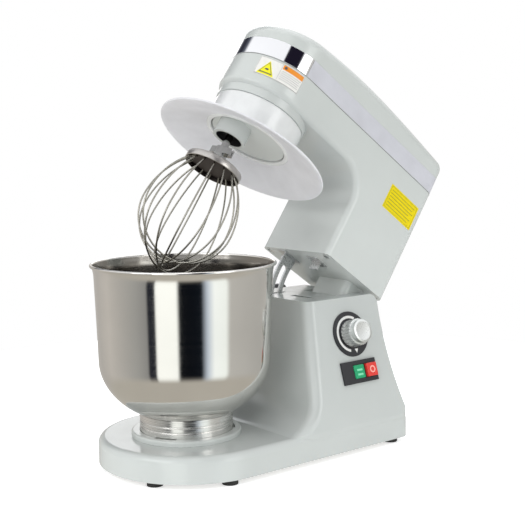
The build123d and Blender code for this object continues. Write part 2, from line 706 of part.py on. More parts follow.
with BuildPart() as cover_body:
    extrude(HEAD_SIDE * cover_profile(), amount=HEAD_HALF + 5, both=True)
    extrude(SEAM * head_plan(), amount=COVER_HEIGHT, mode=Mode.INTERSECT)
    top_edges = cover_body.faces().sort_by(HEAD_UP)[-1].edges()
    fillet(top_edges, HEAD_TOP_EDGE_R)

with BuildPart() as cover_hollow:
    extrude(HEAD_SIDE * cover_profile(COVER_WALL), amount=HEAD_HALF + 5, both=True)
    extrude(SEAM * head_plan(COVER_WALL), amount=COVER_HEIGHT, mode=Mode.INTERSECT)
    top_edges = cover_hollow.faces().sort_by(HEAD_UP)[-1].edges()
    fillet(top_edges, HEAD_TOP_EDGE_R / 2)

with BuildPart() as head_cover:
    add(cover_body.part)
    add(cover_hollow.part, mode=Mode.SUBTRACT)
    add(strip_band.part, mode=Mode.SUBTRACT)

STRIP_START = HEAD.from_local_coords((0, STRIP_START_Y, 0))
NOSE_CUT = Plane(origin=STRIP_START, x_dir=HEAD.x_dir, z_dir=HEAD.y_dir)

with BuildPart() as front_plate:
    add(strip_band.part)
    split(bisect_by=NOSE_CUT, keep=Keep.BOTTOM)

with BuildPart() as trim_strip:
    add(strip_band.part)
    split(bisect_by=NOSE_CUT.offset(STRIP_GAP), keep=Keep.TOP)

LABEL_THICKNESS = 0.3
LABEL_START = -63.0
LABEL_ANGLE = 54.5

with BuildPart() as warning_label:
    tube(HEAD, 341, 367, HEAD_HALF + LABEL_THICKNESS, HEAD_HALF)
    with BuildSketch(HEAD.offset(330)) as sector:
        with BuildLine():
            arc = CenterArc((0, 0), HEAD_HALF + PAST, LABEL_START, LABEL_ANGLE)
            Line((0, 0), arc @ 0)
            Line(arc @ 1, (0, 0))
        make_face()
    extrude(sector.sketch, amount=50, mode=Mode.INTERSECT)

with BuildPart() as rating_label:
    block(across(HEAD_SIDE.offset(HEAD_HALF), 233.7, 326.5), 0, LABEL_THICKNESS, 65, 36, corner=1)

# ---- Neck bottom, hinge lug and stay ---------------------------------------------------------
TAB_THICKNESS = 1.2
STAY_TAB_WIDTH = 16.0
STAY_TAB_DEPTH = 36.0
STAY_TAB_Y = 172.0
STAY_SCREW_DEPTH = 5.0
STAY_SCREW_HEAD_R = 3.0
LUG_CORNER_R = 9.0
BUSH_LENGTH = 18.0

with BuildPart() as neck_plate:
    width = 2 * (HEAD_HALF - HEAD_WALL - 0.3)
    depth = HEAD_REAR_Y - NECK_FRONT_Y - 2 * HEAD_WALL - 0.6
    middle = beside(HEAD, 0, (HEAD_REAR_Y + NECK_FRONT_Y) / 2)
    block(middle, NECK_BOTTOM, NECK_BOTTOM + PLATE_THICKNESS, width, depth, corner=11)
    for place in PLATE_SCREWS:
        tube(place, NECK_BOTTOM, NECK_BOTTOM + SCREW_HEAD, SCREW_HEAD_R, mode=Mode.SUBTRACT)
        tube(place, NECK_BOTTOM, NECK_BOTTOM + 10, SCREW_R, mode=Mode.SUBTRACT)
    for place in STAY_SCREWS:
        tube(place, NECK_BOTTOM, NECK_BOTTOM + STAY_SCREW_DEPTH, SCREW_R, mode=Mode.SUBTRACT)

with BuildPart() as hinge_lug:
    lug_side = HEAD_SIDE.offset(LUG_LEFT)
    with BuildSketch(lug_side) as lug_section:
        with BuildLine():
            Polyline(
                (PIVOT_Y, PIVOT_Z - LUG_R),
                (LUG_FRONT_Y, PIVOT_Z - LUG_R),
                (LUG_FRONT_Y, NECK_BOTTOM),
                (PIVOT_Y + 9, NECK_BOTTOM),
                (PIVOT_Y + LUG_R, PIVOT_Z),
            )
            ThreePointArc(
                (PIVOT_Y + LUG_R, PIVOT_Z),
                (PIVOT_Y + LUG_R * cos(radians(45)), PIVOT_Z - LUG_R * sin(radians(45))),
                (PIVOT_Y, PIVOT_Z - LUG_R),
            )
        make_face()
    extrude(lug_section.sketch, amount=LUG_WIDTH)
    lug_corners = (
        hinge_lug.edges()
        .filter_by(HEAD_UP)
        .filter_by_position(HEAD_BACK, LUG_FRONT_Y - 1, LUG_FRONT_Y + 1)
    )
    fillet(lug_corners, LUG_CORNER_R)
    bore = across(HEAD_SIDE, PIVOT_Y, PIVOT_Z)
    tube(bore, LUG_LEFT - 1, LUG_RIGHT + 1, BUSH_R, mode=Mode.SUBTRACT)

with BuildPart() as hinge_bushes:
    for start in (LUG_LEFT, LUG_RIGHT - BUSH_LENGTH):
        tube(bore, start, start + BUSH_LENGTH, BUSH_R, PIN_R + SHAFT_FIT)

with BuildPart() as tilt_stay:
    stay_side = HEAD_SIDE.offset(STAY_X - STAY_THICKNESS / 2)
    extrude(stay_side * stay_slot(STAY_WIDTH / 2, 9), amount=STAY_THICKNESS)
    extrude(stay_side * stay_slot(STAY_SLOT / 2, 0.4), amount=STAY_THICKNESS, mode=Mode.SUBTRACT)
    tab = beside(HEAD, STAY_X, STAY_TAB_Y)
    tab_bottom = NECK_BOTTOM - TAB_THICKNESS
    block(tab, PIVOT_Z + 14, NECK_BOTTOM, STAY_THICKNESS, STAY_WIDTH)
    block(tab, NECK_BOTTOM, NECK_BOTTOM + 30, 60, 80, mode=Mode.SUBTRACT)
    block(tab, tab_bottom, NECK_BOTTOM, STAY_TAB_WIDTH, STAY_TAB_DEPTH, corner=3)
    for place in STAY_SCREWS:
        tube(place, tab_bottom - 4, NECK_BOTTOM, STAY_SCREW_HEAD_R, mode=Mode.SUBTRACT)

with BuildPart() as stay_screws:
    for place in STAY_SCREWS:
        tube(place, tab_bottom, NECK_BOTTOM, STAY_SCREW_HEAD_R)
        tube(place, NECK_BOTTOM, NECK_BOTTOM + STAY_SCREW_DEPTH, SCREW_R)

with BuildPart() as head_catch:
    catch = beside(HEAD, CATCH_X, CATCH_Y)
    block(catch, tab_bottom, NECK_BOTTOM, 20, 26, corner=2)
    block(catch, NECK_BOTTOM - 12, tab_bottom, 16, 2.5)

with BuildPart() as head_screws:
    for place in PLATE_SCREWS:
        screw(place, NECK_BOTTOM + SCREW_HEAD, 12, up=-1)
    for place in BRIDGE_POSTS:
        screw(place, BRIDGE_Z + BRIDGE_THICKNESS, 15)
    for place in MOTOR_SCREWS:
        screw(place, MOTOR_TOP + FLANGE_THICKNESS, 15)

# ---- Splash guard and gear case --------------------------------------------------------------
with BuildPart() as guard_collar:
    tube(HEAD, GUARD_MIDDLE + GUARD_THICKNESS, BOSS_BOTTOM, COLLAR_R, COLLAR_BORE_R)
    tube(HEAD, COLLAR_BOTTOM, GUARD_MIDDLE + GUARD_THICKNESS, COLLAR_NOSE_R, COLLAR_BORE_R)
    tube(HEAD, RING_GEAR_Z, BOSS_BOTTOM, RING_GEAR_R, mode=Mode.SUBTRACT)

with BuildPart() as splash_guard:
    cone_low = (GUARD_R - GUARD_LIP, GUARD_BOTTOM)
    cone_high = (COLLAR_NOSE_R + GUARD_LIP, GUARD_MIDDLE)
    underside = [(GUARD_R, GUARD_BOTTOM), cone_low, cone_high, (COLLAR_NOSE_R, GUARD_MIDDLE)]
    upper_side = [(radius, height + GUARD_THICKNESS) for radius, height in reversed(underside)]
    with BuildSketch(HEAD_FRONT) as guard_wall:
        with BuildLine():
            Polyline(*underside, *upper_side, close=True)
        make_face()
    revolve(axis=HEAD_UP)
    fillet(splash_guard.edges().filter_by(GeomType.CIRCLE).group_by(SortBy.RADIUS)[-1], 0.9)

with BuildPart() as ring_gear:
    tube(HEAD, RING_GEAR_Z, RING_GEAR_TOP, RING_GEAR_R)
    spaces = gear_section(
        RING_TEETH, turn=PLANET_ANGLE, backlash=-0.15, addendum=1.25, dedendum=0.95
    )
    extrude(HEAD.offset(RING_GEAR_Z) * spaces, amount=THROUGH, mode=Mode.SUBTRACT)

with BuildPart() as carrier_bearings:
    for start in (LOW_BEARING_Z, HIGH_BEARING_Z):
        tube(HEAD, start, start + BEARING_WIDTH, BEARING_R, MAIN_SHAFT_R + SHAFT_FIT)

with BuildPart() as gear_bridge:
    bridge = beside(HEAD, 0, 50)
    block(bridge, BRIDGE_Z, BRIDGE_Z + BRIDGE_THICKNESS, 118, 88, corner=8)
    tube(IDLER, BRIDGE_Z, BRIDGE_Z + 9, IDLER_BOSS_R)
    tube(IDLER, BRIDGE_Z, BRIDGE_Z + 10, IDLER_BEARING_R, mode=Mode.SUBTRACT)
    for place in BRIDGE_POSTS:
        tube(place, BRIDGE_Z, BRIDGE_Z + 10, SCREW_R, mode=Mode.SUBTRACT)

with BuildPart() as idler_bearings:
    for start in (IDLER_SEAT_Z, BRIDGE_Z):
        tube(IDLER, start, start + 8, IDLER_BEARING_R, IDLER_SHAFT_R + SHAFT_FIT)

# ---- Motor, fixed parts ----------------------------------------------------------------------
with BuildPart() as motor_housing:
    tube(MOTOR, MOTOR_BOTTOM, MOTOR_TOP, MOTOR_R)
    inside = MOTOR_R - MOTOR_WALL
    tube(MOTOR, MOTOR_BOTTOM + MOTOR_WALL, MOTOR_TOP, inside, mode=Mode.SUBTRACT)
    tube(MOTOR, MOTOR_BOTTOM, MOTOR_BOTTOM + 8, MOTOR_BEARING_R + 4)
    block(MOTOR, MOTOR_TOP, MOTOR_TOP + FLANGE_THICKNESS, 122, 84, corner=6)
    tube(MOTOR, MOTOR_BOTTOM, MOTOR_TOP + 10, MOTOR_BEARING_R, mode=Mode.SUBTRACT)
    for place in MOTOR_SCREWS:
        tube(place, MOTOR_TOP, MOTOR_TOP + 10, SCREW_R, mode=Mode.SUBTRACT)

with BuildPart() as motor_bearings:
    for start in (MOTOR_BOTTOM, MOTOR_TOP - 1):
        tube(MOTOR, start, start + 7, MOTOR_BEARING_R, MOTOR_SHAFT_R + SHAFT_FIT)

with BuildPart() as motor_stator:
    tube(MOTOR, STATOR_BOTTOM, STATOR_TOP, MOTOR_R - MOTOR_WALL, STATOR_BORE_R)

with BuildPart() as drive_belt:
    with BuildSketch(HEAD.offset(PULLEY_Z + 2)) as loop:
        for extra, mode in ((BELT_GAP + BELT_THICKNESS, Mode.ADD), (BELT_GAP, Mode.SUBTRACT)):
            with BuildSketch(mode=mode):
                with Locations((0, IDLER_Y)):
                    Circle(LARGE_PULLEY_R + extra)
                with Locations((0, MOTOR_Y)):
                    Circle(SMALL_PULLEY_R + extra)
                make_hull()
    extrude(loop.sketch, amount=PULLEY_TOP - PULLEY_Z - 4)

# ---- Planetary carrier -----------------------------------------------------------------------
MAIN_SHAFT_BOTTOM = CARRIER_FACE + 1.5
MAIN_HUB_BOTTOM = 331.0

with BuildPart() as planet_carrier:
    tube(HEAD, CARRIER_FACE, CARRIER_TOP, CARRIER_R)
    tube(PLANET, PLANET_BOSS_BOTTOM, CARRIER_TOP, PLANET_BOSS_R)
    tube(HEAD, CARRIER_TOP, LOW_BEARING_Z - 3, 12)
    tube(HEAD, MAIN_SHAFT_BOTTOM, LOW_BEARING_Z, MAIN_SHAFT_R, mode=Mode.SUBTRACT)
    tube(PLANET, PLANET_BOSS_BOTTOM, PLANET_BUSH_Z, PLANET_BOSS_R - 4, mode=Mode.SUBTRACT)
    tube(PLANET, PLANET_BUSH_Z, CARRIER_TOP, PLANET_BUSH_R, mode=Mode.SUBTRACT)

with BuildPart() as planet_bush:
    tube(PLANET, PLANET_BUSH_Z, CARRIER_TOP, PLANET_BUSH_R, PLANET_SHAFT_R + SHAFT_FIT)

with BuildPart() as main_shaft:
    tube(HEAD, MAIN_SHAFT_BOTTOM, MAIN_GEAR_TOP + 2, MAIN_SHAFT_R)

with BuildPart() as main_gear:
    extrude(
        HEAD.offset(MAIN_GEAR_Z) * gear_section(MAIN_TEETH), amount=MAIN_GEAR_TOP - MAIN_GEAR_Z
    )
    tube(HEAD, MAIN_HUB_BOTTOM, MAIN_GEAR_Z, 14)
    for step in range(6):
        hole = turned(HEAD, 60 * step, 28)
        tube(hole, MAIN_HUB_BOTTOM, MAIN_GEAR_TOP, 8, mode=Mode.SUBTRACT)
    tube(HEAD, MAIN_HUB_BOTTOM, MAIN_GEAR_TOP, MAIN_SHAFT_R, mode=Mode.SUBTRACT)

# ---- Whisk and its shaft ---------------------------------------------------------------------
PIN_Z = 240.0
CROSS_PIN_R = 2.0
CROSS_PIN_HALF = 16.0
HUB_R = 9.0
HUB_BOTTOM = 222.5
HUB_TOP = 245.0
HUB_SLOT = 4.4
WHISK_PLATE_R = 31.5
WHISK_BORE_R = 6.3
CAP_EDGE = 1.4

with BuildPart() as planet_gear:
    section = gear_section(PLANET_TEETH, bore=PLANET_SHAFT_R)
    extrude(PLANET.offset(RING_GEAR_Z + 0.8) * section, amount=10)

CROSS_PLACE = PLANET.from_local_coords((0, 0, PIN_Z))
CROSS = Plane(origin=CROSS_PLACE, x_dir=PLANET.x_dir, z_dir=PLANET.y_dir)
PLANET_FRONT = Plane(origin=PLANET.origin, x_dir=PLANET.x_dir, z_dir=-PLANET.y_dir)

with BuildPart() as whisk_shaft:
    tube(PLANET, HUB_BOTTOM + 3.5, RING_GEAR_TOP, PLANET_SHAFT_R)
    tube(CROSS, -CROSS_PIN_HALF, CROSS_PIN_HALF, CROSS_PIN_R, mode=Mode.SUBTRACT)

with BuildPart() as drive_pin:
    tube(CROSS, -CROSS_PIN_HALF, CROSS_PIN_HALF, CROSS_PIN_R)

with BuildPart() as whisk_hub:
    tube(PLANET, HUB_BOTTOM, HUB_TOP, HUB_R)
    block(PLANET, PIN_Z - 4, HUB_TOP, 12, 2 * CROSS_PIN_HALF + 2, corner=3)
    tube(PLANET, HUB_BOTTOM, HUB_TOP, PLANET_SHAFT_R + SHAFT_FIT, mode=Mode.SUBTRACT)
    block(PLANET, PIN_Z - HUB_SLOT / 2, HUB_TOP, HUB_SLOT, 40, mode=Mode.SUBTRACT)

with BuildPart() as whisk_cap:
    rim = WHISK_CAP_R
    low = WHISK_CAP_Z
    with BuildSketch(PLANET_FRONT) as dome:
        with BuildLine():
            Polyline((rim - CAP_EDGE, low), (rim, low), (rim, low + 8.0))
            outer = Spline((rim, low + 8.0), (rim - 8, low + 11.2), (12, low + 14.5))
            Polyline(outer @ 1, (WHISK_BORE_R, low + 14.9), (WHISK_BORE_R, low + 12.9))
            inner = Spline((12, low + 12.7), (rim - 9, low + 9.7), (rim - CAP_EDGE, low + 7.3))
            Line((WHISK_BORE_R, low + 12.9), inner @ 0)
            Line(inner @ 1, (rim - CAP_EDGE, low))
        make_face()
    revolve(axis=Axis(PLANET.origin, PLANET.z_dir))
    tube(PLANET, HUB_BOTTOM, HUB_TOP, HUB_R, mode=Mode.SUBTRACT)

with BuildPart() as whisk_plate:
    tube(PLANET, WHISK_PLATE_Z, WHISK_PLATE_Z + 2, WHISK_PLATE_R)
    tube(PLANET, WHISK_PLATE_Z + 2, HUB_BOTTOM, HUB_R - 2)

with BuildPart() as whisk_wires:
    root_z = WHISK_PLATE_Z + 1
    for step in range(WHISK_LOOPS):
        turn = Rot(90, 0, 0) * Rot(0, 180 * step / WHISK_LOOPS, 0)
        low = WHISK_BOTTOM + WHISK_LOOP_STEP * step
        belly = WHISK_R - 0.25 * step
        with BuildLine(Plane(PLANET.location * turn)) as wire:
            bottom = ThreePointArc((-belly, low + belly), (0, low), (belly, low + belly))
            side = TangentArc(bottom @ 1, (WHISK_ROOT_R, root_z), tangent=bottom % 1)
            TangentArc(bottom @ 0, (-WHISK_ROOT_R, root_z), tangent=-(bottom % 0))
        with BuildSketch(Plane(origin=side @ 1, z_dir=side % 1)) as wire_section:
            Circle(WHISK_WIRE_R)
        sweep(wire_section.sketch, path=wire.line)

# ---- Idler, motor rotor and fan --------------------------------------------------------------
FAN_Z = 302.0
FAN_BLADES = 9

with BuildPart() as idler_shaft:
    tube(IDLER, IDLER_SEAT_Z + 0.5, PULLEY_TOP + 1, IDLER_SHAFT_R)

with BuildPart() as idler_pinion:
    pinion = gear_section(PINION_TEETH, turn=180 / PINION_TEETH - 90, bore=IDLER_SHAFT_R)
    extrude(IDLER.offset(MAIN_GEAR_Z - 1) * pinion, amount=12)

with BuildPart() as idler_pulley:
    tube(IDLER, PULLEY_Z, PULLEY_TOP, LARGE_PULLEY_R)
    for start in (PULLEY_Z, PULLEY_TOP - FLANGE_WIDTH):
        tube(IDLER, start, start + FLANGE_WIDTH, LARGE_PULLEY_R + PULLEY_FLANGE)
    for low, high in ((PULLEY_Z - 1, PULLEY_Z + 5), (PULLEY_TOP - 5, PULLEY_TOP + 1)):
        tube(IDLER, low, high, LARGE_PULLEY_R - 5, 13, mode=Mode.SUBTRACT)
    for step in range(5):
        tube(turned(IDLER, 72 * step, 29), PULLEY_Z, PULLEY_TOP, 9, mode=Mode.SUBTRACT)
    tube(IDLER, PULLEY_Z, PULLEY_TOP, IDLER_SHAFT_R, mode=Mode.SUBTRACT)

with BuildPart() as motor_rotor:
    tube(MOTOR, MOTOR_BOTTOM + 1, PULLEY_TOP + 1, MOTOR_SHAFT_R)
    tube(MOTOR, STATOR_BOTTOM - 2, STATOR_TOP + 2, STATOR_BORE_R - 1)

with BuildPart() as motor_pulley:
    tube(MOTOR, PULLEY_Z, PULLEY_TOP, SMALL_PULLEY_R)
    for start in (PULLEY_Z, PULLEY_TOP - FLANGE_WIDTH):
        tube(MOTOR, start, start + FLANGE_WIDTH, SMALL_PULLEY_R + PULLEY_FLANGE)
    tube(MOTOR, PULLEY_Z, PULLEY_TOP, MOTOR_SHAFT_R, mode=Mode.SUBTRACT)

with BuildPart() as cooling_fan:
    tube(MOTOR, FAN_Z, FAN_Z + 2, 39, MOTOR_SHAFT_R)
    tube(MOTOR, FAN_Z + 2, FAN_Z + 10, 10, MOTOR_SHAFT_R)
    for step in range(FAN_BLADES):
        blade = turned(MOTOR, 360 * step / FAN_BLADES, 24)
        block(blade, FAN_Z + 2, FAN_Z + 9, 29, 1.6)

# ---- Moving controls -------------------------------------------------------------------------
SKIRT_TOP = KNOB_HEIGHT - 7
SPINDLE_TOP = 14.0
BUTTON_DEPTH = 8.0

with BuildPart() as speed_knob:
    tube(DIAL, DIAL_THICKNESS + SEAT_GAP, SKIRT_TOP, KNOB_R)
    for rib in range(KNOB_RIBS):
        groove = turned(DIAL, 360 * rib / KNOB_RIBS, KNOB_R)
        tube(groove, 3.5, SKIRT_TOP, 0.9, mode=Mode.SUBTRACT)
    tube(DIAL, SKIRT_TOP, KNOB_HEIGHT, KNOB_CAP_R)
    tube(DIAL, 0, SPINDLE_TOP, SPINDLE_R, mode=Mode.SUBTRACT)
    tube(DIAL, 0, PAST, BUSHING_R + 0.6, mode=Mode.SUBTRACT)

with BuildPart() as knob_spindle:
    tube(DIAL, 3 - OPENING_DEPTH, SPINDLE_TOP, SPINDLE_R)


def button(place, height):
    """A square push button on its stem, guided in the switch housing."""
    block(place, -BUTTON_DEPTH, height, BUTTON_SIZE, BUTTON_SIZE, corner=1.5)
    tube(place, -BUTTON_DEPTH - 2, -BUTTON_DEPTH, 4)


with BuildPart() as start_button:
    button(beside(SWITCH, START_X, 0), START_HEIGHT)
    chamfer(start_button.faces().sort_by(Axis(SWITCH.origin, SWITCH.z_dir))[-1].edges(), 0.8)

with BuildPart() as stop_button:
    button(beside(SWITCH, STOP_X, 0), STOP_HEIGHT)
    chamfer(stop_button.faces().sort_by(Axis(SWITCH.origin, SWITCH.z_dir))[-1].edges(), 0.8)

LEVER_LENGTH = 62.0
LEVER_ANGLE = 10.0
LEVER_X = -93.0  # outer face of the lever's arm
LEVER_WASHER_R = 7.5


def along_lever(x, distance):
    """A plane across the lever's arm, at a distance from the bolt."""
    place = BOLT_AXIS.offset(x).location * Rot(0, 0, LEVER_ANGLE)
    return Plane(place * Pos(distance, 0, 0))


with BuildPart() as lock_lever:
    tube(BOLT_AXIS, LEVER_X, LEVER_BOSS_X - SEAT_GAP, LEVER_BOSS_R - 1)
    block(along_lever(LEVER_X, LEVER_LENGTH / 2), 0, 7, LEVER_LENGTH, 12, corner=5.5)
    tube(along_lever(LEVER_X - 2, LEVER_LENGTH), 0, 11, 9)
    tube(BOLT_AXIS, LEVER_X, LEVER_BOSS_X, BOLT_R, mode=Mode.SUBTRACT)

with BuildPart() as lock_bolt:
    washer_x = STAY_X + STAY_THICKNESS / 2 + SEAT_GAP
    tube(BOLT_AXIS, LEVER_X, washer_x, BOLT_R)
    tube(BOLT_AXIS, washer_x, washer_x + 4, LEVER_WASHER_R)

# ---- Bowl ------------------------------------------------------------------------------------
BOWL_AXIS = Axis(GROUND.origin, GROUND.z_dir)
GROOVE_R = 1.2


def wall_curve(inset):
    """The bowl's side from its middle to its shoulder: an elliptical dish, then a straight wall."""
    dish = EllipticalCenterArc(
        (0, BOWL_DISH_Z), BOWL_LOW_R - inset, BOWL_DISH_DEPTH - inset, 270, arc_size=90
    )
    side = Line(dish @ 1, (BOWL_TOP_R - inset, BOWL_SHOULDER_Z))
    lip = Line(side @ 1, (RIM_R - RIM_BEAD_R - 0.5 - inset, RIM_Z))
    return dish @ 0, lip @ 1


with BuildPart() as mixing_bowl:
    with BuildSketch(FRONT) as bowl_wall:
        with BuildLine():
            outer_start, outer_end = wall_curve(0)
            inner_start, inner_end = wall_curve(BOWL_WALL)
            Line(outer_start, inner_start)
            Line(outer_end, inner_end)
        make_face()
        with Locations((RIM_R - RIM_BEAD_R, RIM_Z)):
            Circle(RIM_BEAD_R)
    revolve(axis=BOWL_AXIS)


def dish_height(radius):
    """Height of the bowl's outer surface over its foot."""
    return BOWL_DISH_Z - BOWL_DISH_DEPTH * (1 - (radius / BOWL_LOW_R) ** 2) ** 0.5


with BuildPart() as bowl_foot_ring:
    with BuildSketch(FRONT) as ring_wall:
        inside = FOOT_RING_R - FOOT_RING_WALL
        with BuildLine():
            Polyline(
                (inside, FOOT_RING_BOTTOM),
                (FOOT_RING_R, FOOT_RING_BOTTOM),
                (FOOT_RING_R, dish_height(FOOT_RING_R) - 0.1),
                (inside, dish_height(inside) - 0.1),
                close=True,
            )
        make_face()
        with Locations((FOOT_RING_R, 53), (FOOT_RING_R, 60)):
            Circle(GROOVE_R, mode=Mode.SUBTRACT)
    revolve(axis=BOWL_AXIS)
    with BuildSketch(GROUND.offset(SEAT_FLOOR + SEAT_GAP)) as bayonets:
        for third in range(3):
            with BuildLine():
                arc = CenterArc((0, 0), BAYONET_R, 120 * third + BAYONET_START, BAYONET_ANGLE)
                Line((0, 0), arc @ 0)
                Line(arc @ 1, (0, 0))
            make_face()
        Circle(FOOT_RING_R - 1, mode=Mode.SUBTRACT)
    extrude(bayonets.sketch, amount=2)

BASE_PIECES = {
    "base_casting": base_casting,
    "base_bottom_cover": base_bottom_cover,
    "rubber_feet": rubber_feet,
    "foot_screws": foot_screws,
    "bowl_seat": bowl_seat,
    "seat_screws": seat_screws,
    "dial_ring": dial_ring,
    "speed_control": speed_control,
    "switch_housing": switch_housing,
    "control_board": control_board,
    "hinge_pin": hinge_pin,
    "cable_gland": cable_gland,
}
HEAD_PIECES = {
    "head_casting": head_shell,
    "head_cover": head_cover,
    "trim_strip": trim_strip,
    "front_plate": front_plate,
    "warning_label": warning_label,
    "rating_label": rating_label,
    "neck_plate": neck_plate,
    "head_screws": head_screws,
    "hinge_lug": hinge_lug,
    "hinge_bushes": hinge_bushes,
    "tilt_stay": tilt_stay,
    "stay_screws": stay_screws,
    "head_catch": head_catch,
    "guard_collar": guard_collar,
    "splash_guard": splash_guard,
    "ring_gear": ring_gear,
    "carrier_bearings": carrier_bearings,
    "gear_bridge": gear_bridge,
    "idler_bearings": idler_bearings,
    "motor_housing": motor_housing,
    "motor_bearings": motor_bearings,
    "motor_stator": motor_stator,
    "drive_belt": drive_belt,
}
MOVING_PIECES = {
    "planet_carrier": planet_carrier,
    "planet_bush": planet_bush,
    "main_shaft": main_shaft,
    "main_gear": main_gear,
    "planet_gear": planet_gear,
    "whisk_shaft": whisk_shaft,
    "drive_pin": drive_pin,
    "whisk_hub": whisk_hub,
    "whisk_cap": whisk_cap,
    "whisk_plate": whisk_plate,
    "whisk_wires": whisk_wires,
    "idler_shaft": idler_shaft,
    "idler_pinion": idler_pinion,
    "idler_pulley": idler_pulley,
    "motor_rotor": motor_rotor,
    "motor_pulley": motor_pulley,
    "cooling_fan": cooling_fan,
    "speed_knob": speed_knob,
    "knob_spindle": knob_spindle,
    "start_button": start_button,
    "stop_button": stop_button,
    "lock_lever": lock_lever,
    "lock_bolt": lock_bolt,
    "mixing_bowl": mixing_bowl,
    "bowl_foot_ring": bowl_foot_ring,
}

os.makedirs("parts", exist_ok=True)
for name, piece in (BASE_PIECES | HEAD_PIECES | MOVING_PIECES).items():
    piece.part.label = name
    export_step(piece.part, f"parts/{name}.step")
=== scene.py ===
import json
import math

import bmesh
import bpy
from mathutils import Matrix, Vector


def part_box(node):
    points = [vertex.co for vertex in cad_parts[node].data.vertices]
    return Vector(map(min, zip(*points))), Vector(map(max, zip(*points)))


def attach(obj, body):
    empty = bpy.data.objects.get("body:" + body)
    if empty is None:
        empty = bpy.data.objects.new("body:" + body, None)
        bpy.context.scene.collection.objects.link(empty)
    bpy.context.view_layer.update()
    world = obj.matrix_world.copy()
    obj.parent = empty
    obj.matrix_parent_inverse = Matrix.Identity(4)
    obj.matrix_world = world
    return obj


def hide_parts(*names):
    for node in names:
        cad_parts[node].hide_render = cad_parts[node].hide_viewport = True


# A tilt-head planetary mixer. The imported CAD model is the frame. Pieces whose smoothness or print
# matters are built here round the same axes. Metres throughout.

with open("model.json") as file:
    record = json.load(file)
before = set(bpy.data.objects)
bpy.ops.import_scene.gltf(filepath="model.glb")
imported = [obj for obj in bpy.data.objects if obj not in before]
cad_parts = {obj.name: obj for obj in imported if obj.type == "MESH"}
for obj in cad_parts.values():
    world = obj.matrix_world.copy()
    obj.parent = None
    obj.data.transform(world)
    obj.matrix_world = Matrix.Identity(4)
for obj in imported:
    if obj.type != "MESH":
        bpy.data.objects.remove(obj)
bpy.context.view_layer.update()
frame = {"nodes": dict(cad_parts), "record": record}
nodes = frame["nodes"]
joints = {joint["name"]: joint for joint in frame["record"]["behaviour"]["joints"]}


# ---- Axes, read from the joints ----------------------------------------------------------------
def axes(x, z, origin):
    """A matrix whose local x and z run along two given directions."""
    z = Vector(z).normalized()
    x = Vector(x)
    x = (x - x.dot(z) * z).normalized()
    matrix = Matrix((x, z.cross(x), z)).transposed().to_4x4()
    matrix.translation = Vector(origin)
    return matrix


SPIN_HEIGHT = 0.290  # where the head's joints stand, above the ground once the head is lowered
PLANET_ANGLE = math.radians(-79.0)

spin = joints["planetary_spin"]
spin_axis = Vector(spin["axis"]).normalized()
HEAD = axes((1, 0, 0), spin_axis, Vector(spin["pos_m"]) - SPIN_HEIGHT * spin_axis)
planet_origin = Vector(joints["whisk_spin"]["pos_m"]) - SPIN_HEIGHT * spin_axis
PLANET = axes(
    HEAD.to_3x3() @ Vector((math.cos(PLANET_ANGLE), math.sin(PLANET_ANGLE), 0)),
    spin_axis,
    planet_origin,
)
bowl_x, bowl_y = joints["bowl_turn"]["pos_m"][:2]
BOWL = Matrix.Translation((bowl_x, bowl_y, 0))
knob_joint = joints["speed_knob_turn"]
DIAL = axes((0, 1, 0), knob_joint["axis"], knob_joint["pos_m"])
PANEL_LEAN = math.asin(Vector(knob_joint["axis"]).normalized().z)
DIAL_TO_SWITCH = Vector((0.001, -0.0486 / math.cos(PANEL_LEAN), 0))
SWITCH = DIAL @ Matrix.Translation(DIAL_TO_SWITCH)


# ---- Materials -----------------------------------------------------------------------------------
NOISE_MIDDLE = (0.3, 0.7)  # where most of a noise texture's values lie
BEVEL_SAMPLES = 4


